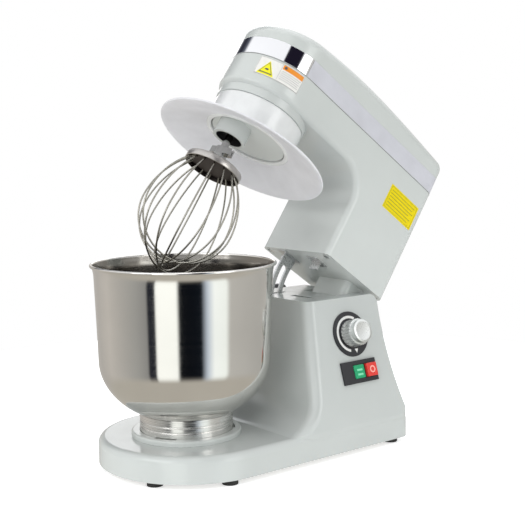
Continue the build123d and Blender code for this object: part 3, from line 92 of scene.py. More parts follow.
class Finish:
    """A Principled material with noise-driven colour, roughness and bump."""

    def __init__(self, name, color, roughness, metallic=0.0, **sockets):
        self.material = bpy.data.materials.new(name)
        self.material.use_nodes = True
        self.tree = self.material.node_tree
        self.bsdf = self.tree.nodes["Principled BSDF"]
        self.color = color
        self.normal = None
        self.put("Base Color", (*color, 1.0))
        self.put("Roughness", roughness)
        self.put("Metallic", metallic)
        for socket, value in sockets.items():
            self.put(socket.replace("_", " "), value)

    def put(self, socket, value):
        self.bsdf.inputs[socket].default_value = value

    def node(self, kind, **properties):
        made = self.tree.nodes.new("ShaderNode" + kind)
        for key, value in properties.items():
            setattr(made, key, value)
        return made

    def join(self, output, target):
        self.tree.links.new(output, target)

    def place(self, matrix=None):
        """Object coordinates, seen from a local frame."""
        source = self.node("TexCoord").outputs["Object"]
        if matrix is None:
            return source
        inverse = matrix.inverted()
        mapping = self.node("Mapping")
        mapping.inputs["Location"].default_value = inverse.translation
        mapping.inputs["Rotation"].default_value = inverse.to_euler()
        self.join(source, mapping.inputs["Vector"])
        return mapping.outputs["Vector"]

    def noise(self, scale, detail, stretch=(1, 1, 1), matrix=None):
        mapping = self.node("Mapping")
        mapping.inputs["Scale"].default_value = stretch
        self.join(self.place(matrix), mapping.inputs["Vector"])
        texture = self.node("TexNoise")
        texture.inputs["Scale"].default_value = scale
        texture.inputs["Detail"].default_value = detail
        self.join(mapping.outputs["Vector"], texture.inputs["Vector"])
        return texture.outputs["Fac"]

    def spread(self, source, low, high):
        """The middle of a noise spread between two values."""
        made = self.node("MapRange")
        limits = (*NOISE_MIDDLE, low, high)
        for socket, value in zip(("From Min", "From Max", "To Min", "To Max"), limits):
            made.inputs[socket].default_value = value
        self.join(source, made.inputs["Value"])
        return made.outputs["Result"]

    def tint(self, source, amount):
        """Base colour drifting lighter and darker by a share."""
        ramp = self.node("ValToRGB")
        for element, change, position in zip(ramp.color_ramp.elements, (-1, 1), NOISE_MIDDLE):
            element.position = position
            element.color = (*[min(1, max(0, c * (1 + change * amount))) for c in self.color], 1)
        self.join(source, ramp.inputs["Fac"])
        self.join(ramp.outputs["Color"], self.bsdf.inputs["Base Color"])

    def vary(self, source, low, high):
        self.join(self.spread(source, low, high), self.bsdf.inputs["Roughness"])

    def soften(self, radius):
        """Rounds the shading over sharp edges."""
        bevel = self.node("Bevel", samples=BEVEL_SAMPLES)
        bevel.inputs["Radius"].default_value = radius
        self.normal = bevel.outputs["Normal"]
        self.join(self.normal, self.bsdf.inputs["Normal"])

    def bump(self, source, depth, strength):
        made = self.node("Bump")
        made.inputs["Distance"].default_value = depth
        made.inputs["Strength"].default_value = strength
        self.join(source, made.inputs["Height"])
        if self.normal:
            self.join(self.normal, made.inputs["Normal"])
        self.normal = made.outputs["Normal"]
        self.join(self.normal, self.bsdf.inputs["Normal"])


def paint(name, color, roughness=0.2):
    """Glossy stove enamel: a faint orange peel, a slow drift of colour and gloss."""
    made = Finish(name, color, roughness, Coat_Weight=0.35, Coat_Roughness=0.06)
    made.tint(made.noise(14, 3), 0.018)
    made.vary(made.noise(60, 3), roughness * 0.8, roughness * 1.3)
    made.soften(0.0008)
    made.bump(made.noise(420, 2), 0.00003, 0.5)
    return made


def plastic(name, color, roughness, grain=1400, depth=0.00002, bevel=0.0005, **sockets):
    """Moulded plastic or rubber with a fine grain. A bevel of 0 leaves its edges sharp."""
    made = Finish(name, color, roughness, **sockets)
    made.tint(made.noise(35, 3), 0.05)
    made.vary(made.noise(120, 3), roughness * 0.82, min(1, roughness * 1.2))
    if bevel:
        made.soften(bevel)
    made.bump(made.noise(grain, 2), depth, 0.6)
    return made


def metal(name, color, roughness, lines=(1, 1, 1), scale=300, depth=0.000006, matrix=None):
    """Metal with fine tool lines running across the stretched direction."""
    made = Finish(name, color, roughness, metallic=1.0)
    made.tint(made.noise(9, 3, matrix=matrix), 0.05)
    fine = made.noise(scale, 4, lines, matrix)
    made.vary(fine, roughness * 0.7, roughness * 1.35)
    made.soften(0.0004)
    made.bump(fine, depth, 0.5)
    return made


def printed(name, color):
    """Ink or a printed film."""
    made = Finish(name, color, 0.35, Specular_IOR_Level=0.25)
    made.tint(made.noise(260, 3), 0.04)
    made.vary(made.noise(300, 2), 0.28, 0.42)
    return made


BODY = (0.60, 0.63, 0.615)
RINGS = (3, 3, 900)  # fine lines round an upright axis
CAP_RINGS = (3, 3, 1200)
PLAIN = (1, 1, 1)

FINISHES = {
    "body_paint": paint("Body_Paint", BODY),
    "trim_grey": plastic("Trim_Grey", (0.60, 0.605, 0.655), 0.34),
    "front_chrome": metal("Front_Chrome", (0.88, 0.88, 0.9), 0.05, depth=0.000002),
    "collar_white": plastic("Collar_White", (0.82, 0.83, 0.83), 0.16, Coat_Weight=0.5),
    "guard_plastic": plastic(
        "Guard_Plastic", (0.78, 0.78, 0.815), 0.34, 900, 0.000002, 0, Coat_Weight=0.25
    ),
    "bowl_steel": metal("Bowl_Steel", (0.80, 0.78, 0.75), 0.09, RINGS, 1.0, 0.000004, BOWL),
    "wire_steel": metal("Wire_Steel", (0.40, 0.385, 0.34), 0.24, PLAIN, 700, 0.000008),
    "cap_steel": metal("Cap_Steel", (0.58, 0.555, 0.53), 0.3, CAP_RINGS, 1.0, 0.00001, PLANET),
    "shaft_chrome": metal("Shaft_Chrome", (0.42, 0.42, 0.41), 0.1, PLAIN, 500, 0.000006),
    "zinc_steel": metal("Zinc_Steel", (0.66, 0.67, 0.68), 0.3, PLAIN, 420, 0.00001),
    "bush_brass": metal("Bush_Brass", (0.72, 0.53, 0.26), 0.25, PLAIN, 420, 0.00001),
    "black_plastic": plastic("Black_Plastic", (0.018, 0.018, 0.022), 0.38, depth=0.00003),
    "knob_silver": metal("Knob_Silver", (0.84, 0.86, 0.85), 0.34, PLAIN, 600, 0.000001),
    "button_green": plastic("Button_Green", (0.01, 0.34, 0.14), 0.25),
    "button_red": plastic("Button_Red", (0.72, 0.045, 0.035), 0.25),
    "foot_rubber": plastic("Foot_Rubber", (0.02, 0.02, 0.02), 0.72, 900, 0.00008),
    "belt_rubber": plastic("Belt_Rubber", (0.025, 0.025, 0.027), 0.65, 900, 0.00006),
    "board_green": plastic("Board_Green", (0.03, 0.16, 0.06), 0.4),
    "label_white": printed("Label_White", (0.84, 0.83, 0.80)),
    "label_yellow": printed("Label_Yellow", (0.82, 0.66, 0.002)),
}
BASE_SHADE_PAINT = paint("Body_Paint_Base_Painted_Shade", (0.52, 0.548, 0.535))  # a darker copy of the body paint: painted shade on the base casting
slots = {row["node"]: row["material_slot"] for row in frame["record"]["subparts"]}
for name, piece in nodes.items():
    piece.data.materials.clear()
    piece.data.materials.append(FINISHES[slots[name]].material)
# The base casting takes the darker copy of the paint: painted shade.
nodes["base_casting"].data.materials[0] = BASE_SHADE_PAINT.material


# ---- Mesh helpers --------------------------------------------------------------------------------
SHARP_ANGLE = math.radians(38)
ON_AXIS = 1e-6  # a radius below this is a single point


def keep(mesh, name, body, slot, replaces=(), finish=None, second=None):
    """Turns a bmesh into a piece that rides on a body. Its faces may use a second finish."""
    data = bpy.data.meshes.new(name)
    bmesh.ops.recalc_face_normals(mesh, faces=mesh.faces)
    mesh.to_mesh(data)
    mesh.free()
    piece = bpy.data.objects.new(name, data)
    bpy.context.scene.collection.objects.link(piece)
    data.materials.append((finish or FINISHES[slot]).material)
    if second:
        data.materials.append(second.material)
    data.shade_smooth()
    data.set_sharp_from_angle(angle=SHARP_ANGLE)
    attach(piece, body)
    if replaces:
        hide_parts(*replaces)
    return piece


def lathe(profile, matrix, segments=192, closed=True, radius=None):
    """A bmesh turned from (radius, height) points about a frame's z axis."""
    mesh = bmesh.new()
    rings = []
    for r, z in profile:
        if r < ON_AXIS:
            rings.append([mesh.verts.new(matrix @ Vector((0, 0, z)))])
            continue
        ring = []
        for step in range(segments):
            angle = math.tau * step / segments
            reach = radius(r, z, angle) if radius else r
            place = Vector((reach * math.cos(angle), reach * math.sin(angle), z))
            ring.append(mesh.verts.new(matrix @ place))
        rings.append(ring)
    for first, second in zip(rings, rings[1:] + rings[:1] if closed else rings[1:]):
        for step in range(segments):
            after = (step + 1) % segments
            corners = [first[step % len(first)], first[after % len(first)]]
            corners += [second[after % len(second)], second[step % len(second)]]
            unique = list(dict.fromkeys(corners))
            if len(unique) > 2:
                mesh.faces.new(unique)
    return mesh


def arc(center, radius, start, end, steps=8):
    """Points round a circle in the (radius, height) plane, angles in degrees."""
    turns = [math.radians(start + (end - start) * step / steps) for step in range(steps + 1)]
    return [(center[0] + radius * math.cos(t), center[1] + radius * math.sin(t)) for t in turns]


# ---- Bowl ----------------------------------------------------------------------------------------
DISH_Z = 0.138
DISH_R = 0.1091
DISH_DEPTH = 0.082
SHOULDER = (0.1125, 0.242)
LIP_R = 0.115
BOWL_WALL = 0.0014
BEAD_R = 0.002
BEAD_STEPS = 14
BOWL_SEGMENTS = 256
DISH_STEPS = 28
SIDE_STEPS = 8
SIDE_CURVE = 1.15  # above 1, the side leaves the dish upright and widens later


def bowl_side(inset):
    """Half of the bowl's section, from the middle of its floor up to the rim."""
    points = []
    for step in range(DISH_STEPS + 1):
        turn = math.radians(90 * step / DISH_STEPS)
        r = (DISH_R - inset) * math.sin(turn)
        z = DISH_Z - (DISH_DEPTH - inset) * math.cos(turn)
        points.append((r, z))
    for step in range(1, SIDE_STEPS + 1):
        share = step / SIDE_STEPS
        r = DISH_R + (SHOULDER[0] - DISH_R) * share ** SIDE_CURVE - inset
        points.append((r, DISH_Z + (SHOULDER[1] - DISH_Z) * share))
    return points


rim_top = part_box("mixing_bowl")[1].z
rim_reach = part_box("mixing_bowl")[1].x - bowl_x
bead = (rim_reach - BEAD_R, rim_top - BEAD_R)
outside = bowl_side(0)
flare_top = bead[1] - 0.0012
flare = [
    (SHOULDER[0] + (LIP_R - SHOULDER[0]) * s ** 2, SHOULDER[1] + (flare_top - SHOULDER[1]) * s)
    for s in (0.35, 0.7, 1.0)
]
inside = bowl_side(BOWL_WALL)
inner_flare = [(r - BOWL_WALL, z + 0.001) for r, z in flare]
rolled = arc(bead, BEAD_R, -100, 150, BEAD_STEPS)
bowl_section = outside + flare + rolled + inner_flare[::-1] + inside[::-1]
# The inside faces take a darker, rougher copy of the bowl steel: painted shade inside the bowl.
BOWL_INSIDE_SHADE = metal("Bowl_Steel_Inside_Painted_Shade", (0.30, 0.285, 0.265), 0.16, RINGS, 1.0, 0.000006, BOWL)
bowl_mesh = lathe(bowl_section, BOWL, BOWL_SEGMENTS, closed=False)
first_inside = len(outside) + len(flare) + len(rolled)
for index, face in enumerate(bowl_mesh.faces):
    if index // BOWL_SEGMENTS >= first_inside:
        face.material_index = 1
keep(
    bowl_mesh, "Mixing_Bowl_Wall", "bowl", "bowl_steel", ("mixing_bowl",), second=BOWL_INSIDE_SHADE
)

# ---- Splash guard --------------------------------------------------------------------------------
GUARD_R = 0.117
GUARD_LOW = 0.2598
GUARD_HIGH = 0.2786
GUARD_BORE = 0.0595
GUARD_THICKNESS = 0.0025
GUARD_EDGE_R = 0.0009
GUARD_LIP = 0.003  # how far in from its edge and its bore the cone would begin and end
GUARD_STEPS = 10


def guard_sweep(lift):
    """The guard's straight rise from its edge to its middle, short of both ends."""
    start = Vector((GUARD_R - GUARD_LIP, GUARD_LOW + lift))
    end = Vector((GUARD_BORE + GUARD_LIP, GUARD_HIGH + lift))
    run = end - start
    return [
        tuple(start + run * (0.06 + 0.88 * step / GUARD_STEPS)) for step in range(GUARD_STEPS + 1)
    ]


edge_low = (GUARD_R - GUARD_EDGE_R, GUARD_LOW + GUARD_EDGE_R)
edge_high = (GUARD_R - GUARD_EDGE_R, GUARD_LOW + GUARD_THICKNESS - GUARD_EDGE_R)
guard_section = (
    arc(edge_low, GUARD_EDGE_R, -90, 0)
    + arc(edge_high, GUARD_EDGE_R, 0, 90)
    + guard_sweep(GUARD_THICKNESS)
    + [(GUARD_BORE, GUARD_HIGH + GUARD_THICKNESS), (GUARD_BORE, GUARD_HIGH)]
    + guard_sweep(0)[::-1]
)
guard_mesh = lathe(guard_section, HEAD, 224)
keep(guard_mesh, "Splash_Guard_Disc", "head", "guard_plastic", ("splash_guard",))

# ---- Bowl's foot ring ----------------------------------------------------------------------------
FOOT_R = 0.0593
FOOT_WALL = 0.0028
FOOT_EDGE = 0.0005
FOOT_GAP = 0.0002  # between the ring and the dish
GROOVES = (0.053, 0.060)
GROOVE_R = 0.0012


def dish_height(r):
    """Height of the bowl's outer surface over its foot."""
    return DISH_Z - DISH_DEPTH * math.sqrt(1 - (r / DISH_R) ** 2)


foot_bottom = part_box("bowl_foot_ring")[0].z
foot_section = [
    (FOOT_R - FOOT_WALL, foot_bottom),
    (FOOT_R - FOOT_EDGE, foot_bottom),
    (FOOT_R, foot_bottom + FOOT_EDGE),
]
for groove in GROOVES:
    foot_section += arc((FOOT_R, groove), GROOVE_R, -90, -270)
foot_section += [
    (FOOT_R, dish_height(FOOT_R) - FOOT_GAP),
    (FOOT_R - FOOT_WALL, dish_height(FOOT_R - FOOT_WALL) - FOOT_GAP),
]
BAYONET = (0.0618, 0.0424, 0.0444)  # reach, bottom and top of each lug
BAYONET_STARTS = (17, 137, 257)
BAYONET_ANGLE = 24
LUG_ROOT = 0.001  # how far each lug is let into the ring


def sector(matrix, inner, outer, bottom, top, start, angle, steps=12):
    """A bmesh of part of a flat ring."""
    mesh = bmesh.new()
    rows = []
    for step in range(steps + 1):
        t = math.radians(start + angle * step / steps)
        corners = ((inner, bottom), (outer, bottom), (outer, top), (inner, top))
        way_out = Vector((math.cos(t), math.sin(t), 0))
        rows.append(
            [mesh.verts.new(matrix @ (r * way_out + Vector((0, 0, z)))) for r, z in corners]
        )
    for first, second in zip(rows, rows[1:]):
        for side in range(4):
            after = (side + 1) % 4
            mesh.faces.new((first[side], first[after], second[after], second[side]))
    mesh.faces.new(rows[0])
    mesh.faces.new(rows[-1][::-1])
    return mesh


foot_mesh = lathe(foot_section, BOWL, 192)
for start in BAYONET_STARTS:
    lug = sector(BOWL, FOOT_R - LUG_ROOT, *BAYONET, start, BAYONET_ANGLE)
    data = bpy.data.meshes.new("lug")
    lug.to_mesh(data)
    lug.free()
    foot_mesh.from_mesh(data)
    bpy.data.meshes.remove(data)
FOOT_STEEL = metal("Bowl_Steel_Foot", (0.80, 0.79, 0.77), 0.24, RINGS, 1.0, 0.000005, BOWL)
keep(foot_mesh, "Bowl_Foot_Band", "bowl", "bowl_steel", ("bowl_foot_ring",), FOOT_STEEL)

# ---- Whisk wires ---------------------------------------------------------------------------------
LOOPS = 8
WIRE_R = 0.0011
WHISK_R = 0.062
WHISK_BOTTOM = 0.0675
ROOT = (0.0292, 0.2175)
LOOP_RISE = 0.0025  # each loop crosses over the one before it
LOOP_SHRINK = 0.00025
LOOP_STEPS = 24


def wire_path(loop):
    """Half of a loop's points from its lowest point to its root, as (radius, height)."""
    low = WHISK_BOTTOM + LOOP_RISE * loop
    belly = WHISK_R - LOOP_SHRINK * loop
    middle = low + belly
    rise = ROOT[1] - middle
    reach = belly - ROOT[0]
    bend = (rise ** 2 + reach ** 2) / (2 * reach)
    points = [
        (belly * math.sin(t), middle - belly * math.cos(t))
        for t in [math.radians(90 * step / LOOP_STEPS) for step in range(LOOP_STEPS + 1)]
    ]
    last = math.asin(rise / bend)
    points += [
        (belly - bend + bend * math.cos(t), middle + bend * math.sin(t))
        for t in [last * step / LOOP_STEPS for step in range(1, LOOP_STEPS + 1)]
    ]
    return points


def rod(mesh, points, radius, sides=10):
    """Adds a round bar along a smooth run of points to a bmesh."""
    rings = []
    normal = None
    for index, point in enumerate(points):
        ahead = (points[min(index + 1, len(points) - 1)] - points[max(index - 1, 0)]).normalized()
        if normal is None:
            normal = ahead.orthogonal().normalized()
        normal = (normal - normal.dot(ahead) * ahead).normalized()
        side = ahead.cross(normal)
        turns = [math.tau * step / sides for step in range(sides)]
        rings.append(
            [
                mesh.verts.new(point + radius * (math.cos(t) * normal + math.sin(t) * side))
                for t in turns
            ]
        )
    for first, second in zip(rings, rings[1:]):
        for step in range(sides):
            after = (step + 1) % sides
            mesh.faces.new((first[step], first[after], second[after], second[step]))
    mesh.faces.new(rings[0][::-1])
    mesh.faces.new(rings[-1])


wires = bmesh.new()
for loop in range(LOOPS):
    turn = math.pi * loop / LOOPS
    half = wire_path(loop)
    section = [(-r, z) for r, z in reversed(half[1:])] + half
    run = [PLANET @ Vector((r * math.cos(turn), r * math.sin(turn), z)) for r, z in section]
    rod(wires, run, WIRE_R)
keep(wires, "Whisk_Wire_Loops", "planet", "wire_steel", ("whisk_wires",))

# ---- Painted shade in the planet boss's hollow: a black sleeve -----------------------------------
HOLLOW_SHADE = plastic("Hollow_Painted_Shade", (0.012, 0.012, 0.014), 0.55)
SHADE_SLEEVE_R = 0.0179
SHADE_SLEEVE_WALL = 0.0004
SHADE_SLEEVE_BORE = 0.0058
SHADE_SLEEVE_HEIGHTS = (0.2606, 0.2692, 0.2697)  # mouth, underside and top of its end
mouth, under, top = SHADE_SLEEVE_HEIGHTS
shade_sleeve_section = [
    (SHADE_SLEEVE_BORE, under),
    (SHADE_SLEEVE_BORE, top),
    (SHADE_SLEEVE_R, top),
    (SHADE_SLEEVE_R, mouth),
    (SHADE_SLEEVE_R - SHADE_SLEEVE_WALL, mouth),
    (SHADE_SLEEVE_R - SHADE_SLEEVE_WALL, under),
]
shade_sleeve_mesh = lathe(shade_sleeve_section, PLANET, 96)
keep(shade_sleeve_mesh, "Planet_Boss_Painted_Shade", "carrier", "black_plastic", finish=HOLLOW_SHADE)

# ---- Whisk cap -----------------------------------------------------------------------------------
CAP_SEGMENTS = 128
CAP_Z = 0.2123
CAP_R = 0.0382
CAP_BORE = 0.0090
CAP_OVER = [
    (CAP_R - 0.0004, CAP_Z),
    (CAP_R, CAP_Z + 0.0005),
    (CAP_R, CAP_Z + 0.0071),
    (CAP_R - 0.0006, CAP_Z + 0.0082),
    (CAP_R - 0.0035, CAP_Z + 0.0097),
    (CAP_R - 0.0085, CAP_Z + 0.0113),
    (0.0210, CAP_Z + 0.0131),
    (0.0120, CAP_Z + 0.0145),
    (CAP_BORE, CAP_Z + 0.0147),
]
CAP_UNDER = [
    (CAP_BORE, CAP_Z + 0.0128),
    (0.0200, CAP_Z + 0.0114),
    (CAP_R - 0.0092, CAP_Z + 0.0096),
    (CAP_R - 0.0014, CAP_Z + 0.0073),
    (CAP_R - 0.0014, CAP_Z),
]
# Painted shade: a near-black copy of the cap steel for the cap's underside and the whisk's inner
# plate, which lie in shadow.
SHADED_STEEL = metal(
    "Cap_Steel_Under_Painted_Shade", (0.10, 0.082, 0.078), 0.45, CAP_RINGS, 1.0, 0.00001, PLANET
)
cap_mesh = lathe(CAP_OVER + CAP_UNDER, PLANET, CAP_SEGMENTS)
for index, face in enumerate(cap_mesh.faces):
    if len(CAP_OVER) <= index // CAP_SEGMENTS < len(CAP_OVER) + len(CAP_UNDER) - 1:
        face.material_index = 1
keep(cap_mesh, "Whisk_Cap_Dome", "planet", "cap_steel", ("whisk_cap",), second=SHADED_STEEL)
# The whisk's inner plate takes the same painted shade.
nodes["whisk_plate"].data.materials[0] = SHADED_STEEL.material

# ---- Splash guard's collar -----------------------------------------------------------------------
COLLAR_R = 0.0615
COLLAR_TOP = 0.315
COLLAR_SEAT = 0.2811  # height of the step that stands on the guard
COLLAR_NOSE = (0.053, 0.0595, 0.2782)  # bore, outer radius and bottom
GEAR_SEAT = (0.0553, 0.286)  # radius and height of the ring gear's seat
COLLAR_EDGE = 0.0012
collar_section = (
    arc((COLLAR_NOSE[0] + COLLAR_EDGE, COLLAR_NOSE[2] + COLLAR_EDGE), COLLAR_EDGE, 180, 270, 5)
    + arc((COLLAR_NOSE[1] - COLLAR_EDGE, COLLAR_NOSE[2] + COLLAR_EDGE), COLLAR_EDGE, -90, 0, 5)
    + [(COLLAR_NOSE[1], COLLAR_SEAT), (COLLAR_R, COLLAR_SEAT)]
    + arc((COLLAR_R - COLLAR_EDGE, COLLAR_TOP - COLLAR_EDGE), COLLAR_EDGE, 0, 90, 5)
    + [(GEAR_SEAT[0], COLLAR_TOP), GEAR_SEAT, (COLLAR_NOSE[0], GEAR_SEAT[1])]
)
collar_mesh = lathe(collar_section, HEAD)
keep(collar_mesh, "Guard_Collar_Ring", "head", "collar_white", ("guard_collar",))

# ---- Gasket in the seam between casting and cover ------------------------------------------------
SEAM_Z = 0.370
SEAM_SLOPE = math.radians(1.0)
HEAD_HALF = 0.0675
HEAD_REAR = 0.282
HEAD_CORNER_R = 0.015
GASKET_OUT = 0.00012
GASKET_HALF = 0.00035


def head_outline(reach):
    """The head's plan grown by a reach: a round nose, straight sides, rounded rear corners."""
    points = arc((0, 0), HEAD_HALF + reach, -180, 0, 64)
    corner = (HEAD_HALF - HEAD_CORNER_R, HEAD_REAR - HEAD_CORNER_R)
    points += arc(corner, HEAD_CORNER_R + reach, 0, 90, 10)
    points += arc((-corner[0], corner[1]), HEAD_CORNER_R + reach, 90, 180, 10)
    return points


def gasket():
    """A bmesh of a thin band round the head's seam."""
    mesh = bmesh.new()
    matrix = HEAD @ Matrix.Translation((0, 0, SEAM_Z)) @ Matrix.Rotation(SEAM_SLOPE, 4, "X")
    rows = []
    for reach, height in (
        (GASKET_OUT, -GASKET_HALF),
        (GASKET_OUT, GASKET_HALF),
        (-GASKET_OUT, GASKET_HALF),
        (-GASKET_OUT, -GASKET_HALF),
    ):
        outline = head_outline(reach)
        rows.append([mesh.verts.new(matrix @ Vector((x, y, height))) for x, y in outline])
    for first, second in zip(rows, rows[1:] + rows[:1]):
        for step in range(len(first)):
            after = (step + 1) % len(first)
            mesh.faces.new((first[step], first[after], second[after], second[step]))
    return mesh


GASKET_GREY = plastic("Gasket_Grey", (0.16, 0.16, 0.165), 0.5)
keep(gasket(), "Seam_Gasket", "head", "black_plastic", finish=GASKET_GREY)

# ---- Speed knob and dial -------------------------------------------------------------------------
KNOB_RIBS = 24
RIB_DEPTH = 0.0011
SKIRT = (0.0180, 0.0016, 0.0190)  # radius, bottom and top
CAP = (0.0156, 0.0260)  # radius and top
KNOB_EDGE = 0.0012
KNOB_BORE = (0.0057, 0.0050)  # radius and depth seen from the dial's face
DIAL_FACE = 0.0012
DIAL_ARC = (0.0212, 0.0246)
DIAL_ARC_TURN = (60, 195)  # where the scale starts and how far it runs, in degrees
PRINT = 0.00012


def ribbed(r, z, angle):
    """The skirt's radius, drawn in between its ribs."""
    if not SKIRT[1] + 0.0015 < z < SKIRT[2] - 0.0004 or r < CAP[0]:
        return r
    return r - RIB_DEPTH * (0.5 + 0.5 * math.cos(KNOB_RIBS * angle)) ** 3


skirt_heights = [SKIRT[1] + 0.0010 + 0.0012 * step for step in range(14)]
knob_section = (
    [(KNOB_BORE[0], KNOB_BORE[1]), (KNOB_BORE[0], SKIRT[1]), (SKIRT[0] - 0.0006, SKIRT[1])]
    + [(SKIRT[0], z) for z in skirt_heights if z < SKIRT[2] - 0.0008]
    + arc((SKIRT[0] - KNOB_EDGE, SKIRT[2] - KNOB_EDGE), KNOB_EDGE, 0, 90, 5)
    + [(CAP[0] + 0.0002, SKIRT[2])]
    + arc((CAP[0] - KNOB_EDGE, CAP[1] - KNOB_EDGE), KNOB_EDGE, 0, 60, 5)
    + arc((CAP[0] - 0.0030, CAP[1] - 0.0010), 0.0010, 60, 90, 3)
    + [(CAP[0] - 0.0050, CAP[1] - 0.0004), (0, CAP[1] - 0.0004)]
)
knob_mesh = lathe(knob_section, DIAL, 288, closed=False, radius=ribbed)
keep(knob_mesh, "Speed_Knob_Body", "speed_knob", "knob_silver", ("speed_knob",))
WHITE_PRINT = printed("White_Print", (0.82, 0.82, 0.80))
scale_mesh = sector(DIAL, *DIAL_ARC, DIAL_FACE, DIAL_FACE + PRINT, *DIAL_ARC_TURN, 48)
keep(scale_mesh, "Dial_Scale_Arc", "base", "label_white", finish=WHITE_PRINT)


def box_outline(left, right, low, high):
    return [(left, low), (right, low), (right, high), (left, high)]


def tile(matrix, outline, bottom, thickness):
    """A bmesh of a thin flat shape on a plane."""
    mesh = bmesh.new()
    rows = [
        [mesh.verts.new(matrix @ Vector((x, y, z))) for x, y in outline]
        for z in (bottom, bottom + thickness)
    ]
    mesh.faces.new(rows[0][::-1])
    mesh.faces.new(rows[1])
    for index in range(len(outline)):
        after = (index + 1) % len(outline)
        mesh.faces.new((rows[0][index], rows[0][after], rows[1][after], rows[1][index]))
    return mesh


POINTER = ((0.0010, -0.0205), (0.0072, -0.0205), (0.0041, -0.0262))
pointer_mesh = tile(DIAL, POINTER, DIAL_FACE, PRINT)
keep(pointer_mesh, "Dial_Pointer_Mark", "base", "label_white", finish=WHITE_PRINT)

# ---- Marks on the push buttons -------------------------------------------------------------------
START_X, START_FACE = -0.0015, 0.0040
STOP_X, STOP_FACE = 0.0190, 0.0070
STOP_RING = (0.0030, 0.0048)
BAR_HALF = 0.0048
BAR_HEIGHT = 0.0026
start_place = SWITCH @ Matrix.Translation((START_X, 0, 0))
stop_place = SWITCH @ Matrix.Translation((STOP_X, 0, 0))
GREEN_PRINT = printed("Green_Print", (0.22, 0.72, 0.44))
RED_PRINT = printed("Red_Print", (0.92, 0.42, 0.36))
for number, height in enumerate((0.0008, -0.0052)):
    bar = box_outline(-BAR_HALF, BAR_HALF, height, height + BAR_HEIGHT)
    bar_mesh = tile(start_place, bar, START_FACE, PRINT)
    name = f"Start_Mark_{number + 1}"
    keep(bar_mesh, name, "start_button", "button_green", finish=GREEN_PRINT)
ring_mesh = sector(stop_place, *STOP_RING, STOP_FACE, STOP_FACE + PRINT, 0, 359.9, 48)
keep(ring_mesh, "Stop_Mark", "stop_button", "button_red", finish=RED_PRINT)

# ---- Print on the labels -------------------------------------------------------------------------
LABEL_R = 0.0678
LABEL_LOW = 0.341
LABEL_HIGH = 0.367
CUT_STEP = 1.5  # degrees between the cuts that let a print bend round the nose


def wrapped(outline, lift=PRINT):
    """A bmesh of a shape printed round the head's nose, from (degrees, height) points."""
    mesh = bmesh.new()
    mesh.faces.new([mesh.verts.new((x, y, 0)) for x, y in outline])
    low = min(x for x, y in outline)
    high = max(x for x, y in outline)
    cut = low + CUT_STEP
    while cut < high:
        everything = mesh.verts[:] + mesh.edges[:] + mesh.faces[:]
        bmesh.ops.bisect_plane(
            mesh, geom=everything, dist=1e-7, plane_co=(cut, 0, 0), plane_no=(1, 0, 0)
        )
        cut += CUT_STEP
    grown = bmesh.ops.extrude_face_region(mesh, geom=mesh.faces[:])
    raised = {vert for vert in grown["geom"] if isinstance(vert, bmesh.types.BMVert)}
    for vert in mesh.verts:
        angle = math.radians(vert.co.x)
        reach = LABEL_R + (lift if vert in raised else 0)
        place = Vector((reach * math.cos(angle), reach * math.sin(angle), vert.co.y))
        vert.co = HEAD @ place
    return mesh


def label_piece(name, mesh, finish, slot):
    keep(mesh, name, "head", slot, finish=finish)


def disc(center, size, steps):
    """A printed dot's outline, in degrees and metres."""
    turns = [math.tau * step / steps for step in range(steps)]
    return [(center[0] + size[0] * math.cos(t), center[1] + size[1] * math.sin(t)) for t in turns]


INK = printed("Ink_Grey", (0.10, 0.10, 0.11))
PALE_INK = printed("Ink_Pale", (0.42, 0.42, 0.42))
YELLOW = printed("Yellow_Print", (0.90, 0.84, 0.02))
ORANGE = printed("Orange_Print", (0.86, 0.30, 0.03))
LEFT, MIDDLE, RIGHT = -62.6, -36.2, -8.7
THIN = 0.0005
TURN_THIN = math.degrees(THIN / LABEL_R)
MARGIN = 0.0004
for number, low in enumerate((LABEL_LOW + MARGIN, LABEL_HIGH - MARGIN - THIN)):
    line = wrapped(box_outline(LEFT, RIGHT, low, low + THIN))
    label_piece(f"Label_Rule_{number + 1}", line, INK if number == 0 else PALE_INK, "label_white")
for number, left in enumerate((LEFT, MIDDLE, RIGHT - TURN_THIN)):
    line = wrapped(box_outline(left, left + TURN_THIN, LABEL_LOW + MARGIN, LABEL_HIGH - MARGIN))
    label_piece(f"Label_Upright_{number + 1}", line, PALE_INK, "label_white")


def triangle(size, center, height):
    """An upright triangle's outline, in degrees and metres."""
    half = math.degrees(size / LABEL_R)
    rise = size * math.sqrt(3) / 2
    return [(center - half, height - rise), (center + half, height - rise), (center, height + rise)]


SIGN = (-50.0, 0.3530)
label_piece("Label_Sign_Field", wrapped(triangle(0.0118, *SIGN)), YELLOW, "label_yellow")
label_piece("Label_Sign_Edge", wrapped(triangle(0.0094, *SIGN), 2 * PRINT), INK, "label_white")
label_piece("Label_Sign_Face", wrapped(triangle(0.0078, *SIGN), 3 * PRINT), YELLOW, "label_yellow")
spot = disc((SIGN[0], SIGN[1] - 0.0022), (2.2, 0.0013), 12)
label_piece("Label_Sign_Spot", wrapped(spot, 4 * PRINT), INK, "label_white")
header = box_outline(MIDDLE + 1.2, RIGHT - 0.8, LABEL_HIGH - 0.0072, LABEL_HIGH - 0.0006)
label_piece("Label_Header", wrapped(header), ORANGE, "label_yellow")
dot = disc((MIDDLE + 4.4, LABEL_HIGH - 0.0039), (1.7, 0.0019), 16)
label_piece("Label_Header_Dot", wrapped(dot, 2 * PRINT), INK, "label_white")
TEXT_LINES = 5
TEXT_TOP = LABEL_HIGH - 0.0102
TEXT_PITCH = 0.0027
for number in range(TEXT_LINES):
    low = TEXT_TOP - TEXT_PITCH * number
    rule = box_outline(MIDDLE + 2.0, RIGHT - (3.0 if number % 2 else 1.8), low, low + 0.0006)
    label_piece(f"Label_Line_{number + 1}", wrapped(rule), PALE_INK, "label_white")

